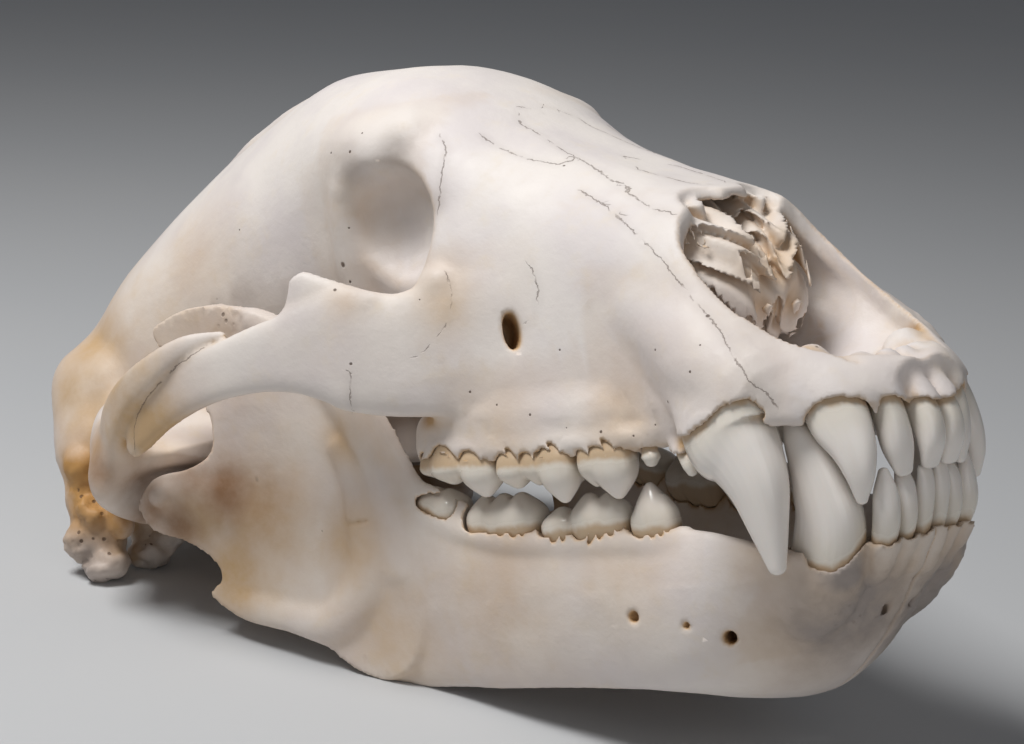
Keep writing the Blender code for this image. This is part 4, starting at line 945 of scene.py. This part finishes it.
class Paint:
    """A material and short calls for its shader nodes. An input is a value or another node's output."""

    def __init__(self, name):
        self.material = bpy.data.materials.new(name)
        self.material.use_nodes = True
        self.tree = self.material.node_tree
        self.shader = self.tree.nodes["Principled BSDF"]

    def node(self, kind, inputs, **settings):
        made = self.tree.nodes.new(kind)
        for key, value in settings.items():
            setattr(made, key, value)
        for key, value in inputs.items():
            self.feed(made.inputs[key], value)
        return made

    def feed(self, socket, value):
        if isinstance(value, bpy.types.NodeSocket):
            self.tree.links.new(value, socket)
        elif isinstance(value, tuple) and len(value) == 3 and socket.type == "RGBA":
            socket.default_value = (*value, 1)
        else:
            socket.default_value = value

    def shade(self, name, value):
        """Sets an input of the surface shader."""
        self.feed(self.shader.inputs[name], value)

    def math(self, operation, first, second=0.0, clamp=False):
        made = self.node("ShaderNodeMath", {0: first, 1: second}, operation=operation, use_clamp=clamp)
        return made.outputs[0]

    def times(self, first, second, clamp=False):
        return self.math("MULTIPLY", first, second, clamp)

    def plus(self, first, second):
        return self.math("ADD", first, second)

    def away(self, first, second):
        """Distance between two places."""
        made = self.node("ShaderNodeVectorMath", {0: first, 1: second}, operation="DISTANCE")
        return made.outputs["Value"]

    def mix(self, share, first, second):
        made = self.node("ShaderNodeMix", {}, data_type="RGBA")
        for socket, value in zip((made.inputs[0], made.inputs[6], made.inputs[7]), (share, first, second)):
            self.feed(socket, value)
        return made.outputs[2]

    def ramp(self, value, low, high, to_low=0.0, to_high=1.0):
        """A smooth step from one value to another."""
        inputs = {"Value": value, "From Min": low, "From Max": high, "To Min": to_low, "To Max": to_high}
        return self.node("ShaderNodeMapRange", inputs, interpolation_type="SMOOTHSTEP").outputs[0]

    def attribute(self, name):
        return self.node("ShaderNodeAttribute", {}, attribute_name=name).outputs["Fac"]

    def place(self):
        return self.node("ShaderNodeTexCoord", {}).outputs["Object"]

    def noise(self, where, scale, detail=3.0, roughness=0.55):
        inputs = {"Vector": where, "Scale": scale, "Detail": detail, "Roughness": roughness}
        return self.node("ShaderNodeTexNoise", inputs).outputs["Fac"]

    def cells(self, where, scale):
        """Distance to the nearest of many scattered points, and a random value for each."""
        made = self.node("ShaderNodeTexVoronoi", {"Vector": where, "Scale": scale})
        return made.outputs["Distance"], made.outputs["Color"]

    def bump(self, height, strength, distance):
        inputs = {"Height": height, "Strength": strength, "Distance": distance}
        return self.node("ShaderNodeBump", inputs).outputs[0]


def spots(paint, where, scale, share, size):
    """Scattered round dark spots: this share of the cells holds one of this size."""
    distance, colour = paint.cells(where, scale)
    chosen = paint.math("LESS_THAN", colour, share)
    return paint.times(chosen, paint.ramp(distance, size * 0.5, size, 1.0, 0.0))


def bone_paint(pores):
    """Bleached bone: pale, with painted warm shade in the hollows, stained and pitted in places, the pits
    and holes painted dark as shade, with fine joint lines.
    """
    paint = Paint("Bone")
    where = paint.place()
    broad = paint.noise(where, 26.0, 3.0)
    patchy = paint.noise(where, 85.0, 4.0, 0.62)
    fine = paint.noise(where, 420.0, 3.0, 0.6)
    colour = paint.mix(paint.ramp(broad, 0.35, 0.68), BONE_PALE, BONE_COOL)
    colour = paint.mix(paint.ramp(patchy, 0.52, 0.8, 0.0, 0.55), colour, BONE_CREAM)
    mottle = paint.plus(paint.times(broad, 0.9), paint.times(patchy, 0.9))
    # The first tint is painted shade in the hollows; the others are stains.
    for name, tint, strength in TINTS:
        amount = paint.times(paint.attribute(name), strength)
        share = paint.times(amount, mottle, clamp=True)
        colour = paint.mix(share, colour, tint)
    rough = paint.attribute("rough")
    # Pits, pin pricks and holes are painted dark as the shade inside them.
    pits = paint.times(spots(paint, where, 330.0, 0.34, 0.34), paint.ramp(rough, 0.12, 0.6))
    pin_pricks = paint.times(spots(paint, where, 260.0, 0.05, 0.2), 0.8)
    nearest = None
    x, y, z = paint.node("ShaderNodeSeparateXYZ", {0: where}).outputs
    near_side = paint.node("ShaderNodeCombineXYZ", {0: x, 1: paint.math("ABSOLUTE", y), 2: z}).outputs[0]
    for spot, radius in pores:
        reach = paint.math("DIVIDE", paint.away(near_side, spot), radius)
        nearest = reach if nearest is None else paint.math("MINIMUM", nearest, reach)
    holes = paint.ramp(nearest, 0.55, 1.15, 1.0, 0.0)
    dark = paint.math("MAXIMUM", paint.math("MAXIMUM", pits, pin_pricks), holes)
    colour = paint.mix(paint.times(dark, 0.85), colour, PIT_SHADE)
    wander = paint.times(paint.math("SUBTRACT", paint.noise(where, 380.0, 3.0, 0.7), 0.5), 2.6)
    beside = paint.math("ABSOLUTE", paint.plus(paint.attribute("joint_side"), wander))
    near = paint.ramp(paint.attribute("joint"), 1.6, 2.6, 1.0, 0.0)
    breaks = paint.ramp(paint.noise(where, 150.0, 2.0), 0.36, 0.5)
    line = paint.times(paint.times(paint.ramp(beside, 0.1, 0.34, 1.0, 0.0), near), breaks)
    halo = paint.times(paint.ramp(paint.attribute("joint"), 0.4, 3.4, 0.22, 0.0), broad)
    colour = paint.mix(halo, colour, GREY)
    colour = paint.mix(paint.times(line, 0.6), colour, JOINT)
    paint.shade("Base Color", colour)
    paint.shade("Roughness", paint.ramp(patchy, 0.3, 0.8, 0.48, 0.66))
    grain = paint.plus(paint.times(fine, 0.35), paint.times(patchy, 0.6))
    sunk = paint.plus(paint.times(dark, 1.6), paint.times(line, 1.1))
    height = paint.math("SUBTRACT", grain, sunk)
    paint.shade("Normal", paint.bump(height, 0.5, 0.0006))
    paint.shade("Specular IOR Level", 0.35)
    return paint.material


def enamel_paint():
    """Teeth: glossy pale crowns that yellow towards the bone, with painted shade in their hollows, and
    duller roots.
    """
    paint = Paint("Enamel")
    where = paint.place()
    above = paint.attribute("above_gum")
    clouds = paint.noise(where, 120.0, 3.0)
    streaks = paint.noise(where, 420.0, 3.0, 0.6)
    wavy = paint.plus(above, paint.times(paint.math("SUBTRACT", clouds, 0.5), 5.0))
    colour = paint.mix(paint.ramp(wavy, 2.0, 14.0), ENAMEL_BASE, ENAMEL_PALE)
    colour = paint.mix(paint.ramp(wavy, 0.2, 2.6, 0.75, 0.0), colour, GUM_STAIN_AND_SHADE)
    # Painted shade in the hollows of the tooth.
    colour = paint.mix(paint.times(paint.attribute("hollow_shade"), 0.8, clamp=True), colour, GUM_STAIN_AND_SHADE)
    colour = paint.mix(paint.ramp(streaks, 0.6, 0.85, 0.0, 0.3), colour, ENAMEL_BASE)
    paint.shade("Base Color", colour)
    paint.shade("Roughness", paint.ramp(wavy, 0.0, 5.0, 0.42, 0.2))
    height = paint.plus(paint.times(clouds, 0.5), paint.times(streaks, 0.12))
    paint.shade("Normal", paint.bump(height, 0.25, 0.0005))
    paint.shade("Subsurface Weight", 0.08)
    paint.shade("Subsurface Radius", (0.003, 0.002, 0.0015))
    return paint.material


def floor_paint():
    """Plain pale studio floor."""
    paint = Paint("Floor")
    clouds = paint.noise(paint.place(), 3.0, 2.0)
    paint.shade("Base Color", paint.mix(clouds, FLOOR_PALE, FLOOR_COOL))
    paint.shade("Roughness", 0.85)
    return paint.material


def cast(tree, u, v):
    """Where the ray through a point of the photo meets the surface, with the near side folded to +Y."""
    way = CAMERA_AHEAD + CAMERA_RIGHT * ((u - PHOTO_SIZE[0] / 2) / FOCAL_PIXELS)
    way = way - CAMERA_UP * ((v - PHOTO_SIZE[1] / 2) / FOCAL_PIXELS)
    fold = Vector((1, -1, 1))
    return tree.ray_cast(CAMERA_PLACE * fold, (way * fold).normalized())[0]


def vertex_arrays(mesh):
    """Places and normals of the vertices."""
    verts = np.empty(len(mesh.vertices) * 3, np.float32)
    normals = np.empty_like(verts)
    mesh.vertices.foreach_get("co", verts)
    mesh.vertex_normals.foreach_get("vector", normals)
    return verts.reshape(-1, 3).astype(float), normals.reshape(-1, 3).astype(float)


def set_attribute(mesh, name, values):
    mesh.attributes.new(name, "FLOAT", "POINT").data.foreach_set("value", values.astype(np.float32))


def ball_mask(verts, centres):
    """Soft round patches: (x, y, z), radius and amount."""
    total = np.zeros(len(verts))
    for centre, radius, amount in centres:
        away = ((verts - centre) ** 2).sum(1) / radius**2
        total = np.maximum(total, amount * np.exp(-away))
    return total


def joint_distances(verts, normals, lines):
    """Distance of each vertex to the nearest joint line, and the same with a sign for its side."""
    nearest = np.full(len(verts), FAR_OFF)
    side = nearest.copy()
    for line in lines:
        for start, end in zip(line, line[1:]):
            along = end - start
            share = np.clip((verts - start) @ along / (along @ along), 0, 1)
            away = verts - start - share[:, None] * along
            distance = np.linalg.norm(away, axis=1)
            sign = np.sign((np.cross(along, away) * normals).sum(1))
            closer = distance < nearest
            nearest[closer] = distance[closer]
            side[closer] = (distance * sign)[closer]
    return nearest, side


def roughen(verts, normals, amount):
    """Uneven surface: broad swells everywhere and lumps where the amount is high."""
    swell = np.array([noise.noise(p) for p in (verts * SWELL_SCALE).tolist()])
    lump_places = (verts * LUMP_SCALE + LUMP_SHIFT).tolist()
    lump = np.array([noise.noise(p) + 0.5 * noise.noise([2.3 * c for c in p]) for p in lump_places])
    near_teeth = (verts[:, 0] > -192) & (np.abs(verts[:, 2] + 8) < 36)
    broad = np.where(near_teeth, SWELL_NEAR_TEETH, SWELL)
    return verts + normals * (swell * broad + lump * (LUMP_EVERYWHERE + LUMP_ROUGH * amount))[:, None]


def dress_bone(obj, field, marks):
    """Roughens the bone and stores the colour masks of its vertices, painted shade in its hollows among
    them.
    """
    verts, normals = vertex_arrays(obj.data)
    fold = np.ones_like(verts)
    fold[:, 1] = np.where(verts[:, 1] < 0, -1, 1)
    folded, facing = verts * fold, normals * fold
    masks = {name: ball_mask(folded, marks[name]) for name in STAINS}
    # Painted shade in the hollows, from how close other bone lies a few millimetres off each vertex.
    open_air = sum(field.sample(folded + away * facing) / away for away in HOLLOW_DEPTHS)
    hollow_shade = 1 - open_air / len(HOLLOW_DEPTHS)
    # Less painted shade inside the nose.
    hollow_shade *= np.where(ball_mask(folded, [NOSE_HOLLOW]) > 0.5, NOSE_SHADE_SHARE, 1.0)
    distance, side = joint_distances(folded, facing, marks["joints"])
    moved = roughen(verts, normals, masks["rough"])
    obj.data.vertices.foreach_set("co", moved.astype(np.float32).ravel())
    for name, mask in masks.items():
        set_attribute(obj.data, name, mask)
    set_attribute(obj.data, "hollow_shade", np.clip(hollow_shade, 0, 1))
    set_attribute(obj.data, "joint", distance)
    set_attribute(obj.data, "joint_side", side)
    obj.data.update()


def read_marks(obj):
    """Places of stains, joint lines and pores on the surface, from where the photo shows them."""
    tree = BVHTree.FromObject(obj, bpy.context.evaluated_depsgraph_get())
    marks = {"joints": [], "pores": []}
    for name, patches in STAINS.items():
        hits = [(cast(tree, u, v), radius, amount) for u, v, radius, amount in patches]
        marks[name] = [(np.array(hit), radius, amount) for hit, radius, amount in hits if hit]
    for line in JOINT_LINES:
        hits = [cast(tree, u, v) for u, v in line]
        marks["joints"].append([np.array(hit) for hit in hits if hit])
    for u, v, radius in PORES:
        hit = cast(tree, u, v)
        if hit:
            marks["pores"].append((tuple(REST @ (hit * MM)), radius * MM))
    return marks


def stand(obj, node):
    """Stands the object on the rest points, in metres, in place of its CAD node."""
    obj.data.transform(REST @ Matrix.Scale(MM, 4))
    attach(obj, "root")
    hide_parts(node)


def twin(obj, name):
    """The mirror image of an object in the skull's own frame."""
    mesh = obj.data.copy()
    mesh.transform(Matrix.Diagonal((1, -1, 1, 1)))
    mesh.flip_normals()
    return show(name, mesh)


def make_bones():
    skull_field, jaw_field = cranium_field(), mandible_field()
    cranium = new_object("skull_bone", *skull_field.surface(both_sides=True))
    thin_out(cranium, BONE_TRIANGLES)
    left = new_object("jaw_bone_left", *jaw_field.surface())
    thin_out(left, JAW_TRIANGLES)
    right = twin(left, "jaw_bone_right")
    skull_marks, jaw_marks = read_marks(cranium), read_marks(left)
    skull_paint = bone_paint(skull_marks["pores"])
    for obj, field, marks, node, slot in (
        (cranium, skull_field, skull_marks, "cranium", "cranium_bone"),
        (left, jaw_field, jaw_marks, "mandible_left", "mandible_bone"),
        (right, jaw_field, jaw_marks, "mandible_right", "mandible_bone"),
    ):
        dress_bone(obj, field, marks)
        obj.data.materials.append(skull_paint)
        stand(obj, node)


def make_teeth():
    paint = enamel_paint()
    for name in ALL_TEETH:
        field = make_tooth_field(name)
        left = new_object(name + "_crown_left", *field.surface())
        verts, normals = vertex_arrays(left.data)
        set_attribute(left.data, "above_gum", gum_side(*verts.T, name))
        # Painted shade: how closed in the tooth is a little off its surface.
        set_attribute(left.data, "hollow_shade", np.clip(1 - field.sample(verts + 2 * normals) / 2, 0, 1))
        right = twin(left, name + "_crown_right")
        for obj, side in ((left, "left"), (right, "right")):
            obj.data.materials.append(paint)
            stand(obj, f"{name}_{side}")


def make_camera():
    data = bpy.data.cameras.new("Photo camera")
    data.sensor_width = SENSOR_WIDTH
    data.lens = FOCAL_PIXELS * SENSOR_WIDTH / PHOTO_SIZE[0]
    camera = show("Photo camera", data)
    turned = Matrix((CAMERA_RIGHT, CAMERA_UP, -CAMERA_AHEAD)).transposed().to_4x4()
    camera.matrix_world = REST @ Matrix.Translation(CAMERA_PLACE * MM) @ turned
    bpy.context.scene.camera = camera


def make_floor():
    mesh = bpy.data.meshes.new("Floor")
    corners = [(x * FLOOR_HALF, y * FLOOR_HALF, 0) for x, y in ((-1, -1), (1, -1), (1, 1), (-1, 1))]
    mesh.from_pydata(corners, [], [(0, 1, 2, 3)])
    mesh.materials.append(floor_paint())
    show("Floor", mesh)


def make_lights():
    for name, spot, power, size in LIGHTS:
        data = bpy.data.lights.new(name, "AREA")
        data.energy = power
        data.size = size
        light = show(name, data)
        light.location = spot
        light.rotation_euler = (Vector(spot) - LIT_PLACE).to_track_quat("Z", "Y").to_euler()
    world = bpy.context.scene.world or bpy.data.worlds.new("World")
    bpy.context.scene.world = world
    world.use_nodes = True
    background = world.node_tree.nodes["Background"]
    background.inputs["Color"].default_value = SKY_COLOUR
    background.inputs["Strength"].default_value = SKY_STRENGTH
    bpy.context.scene.view_settings.view_transform = "Standard"


make_camera()
make_floor()
make_lights()
make_bones()
make_teeth()
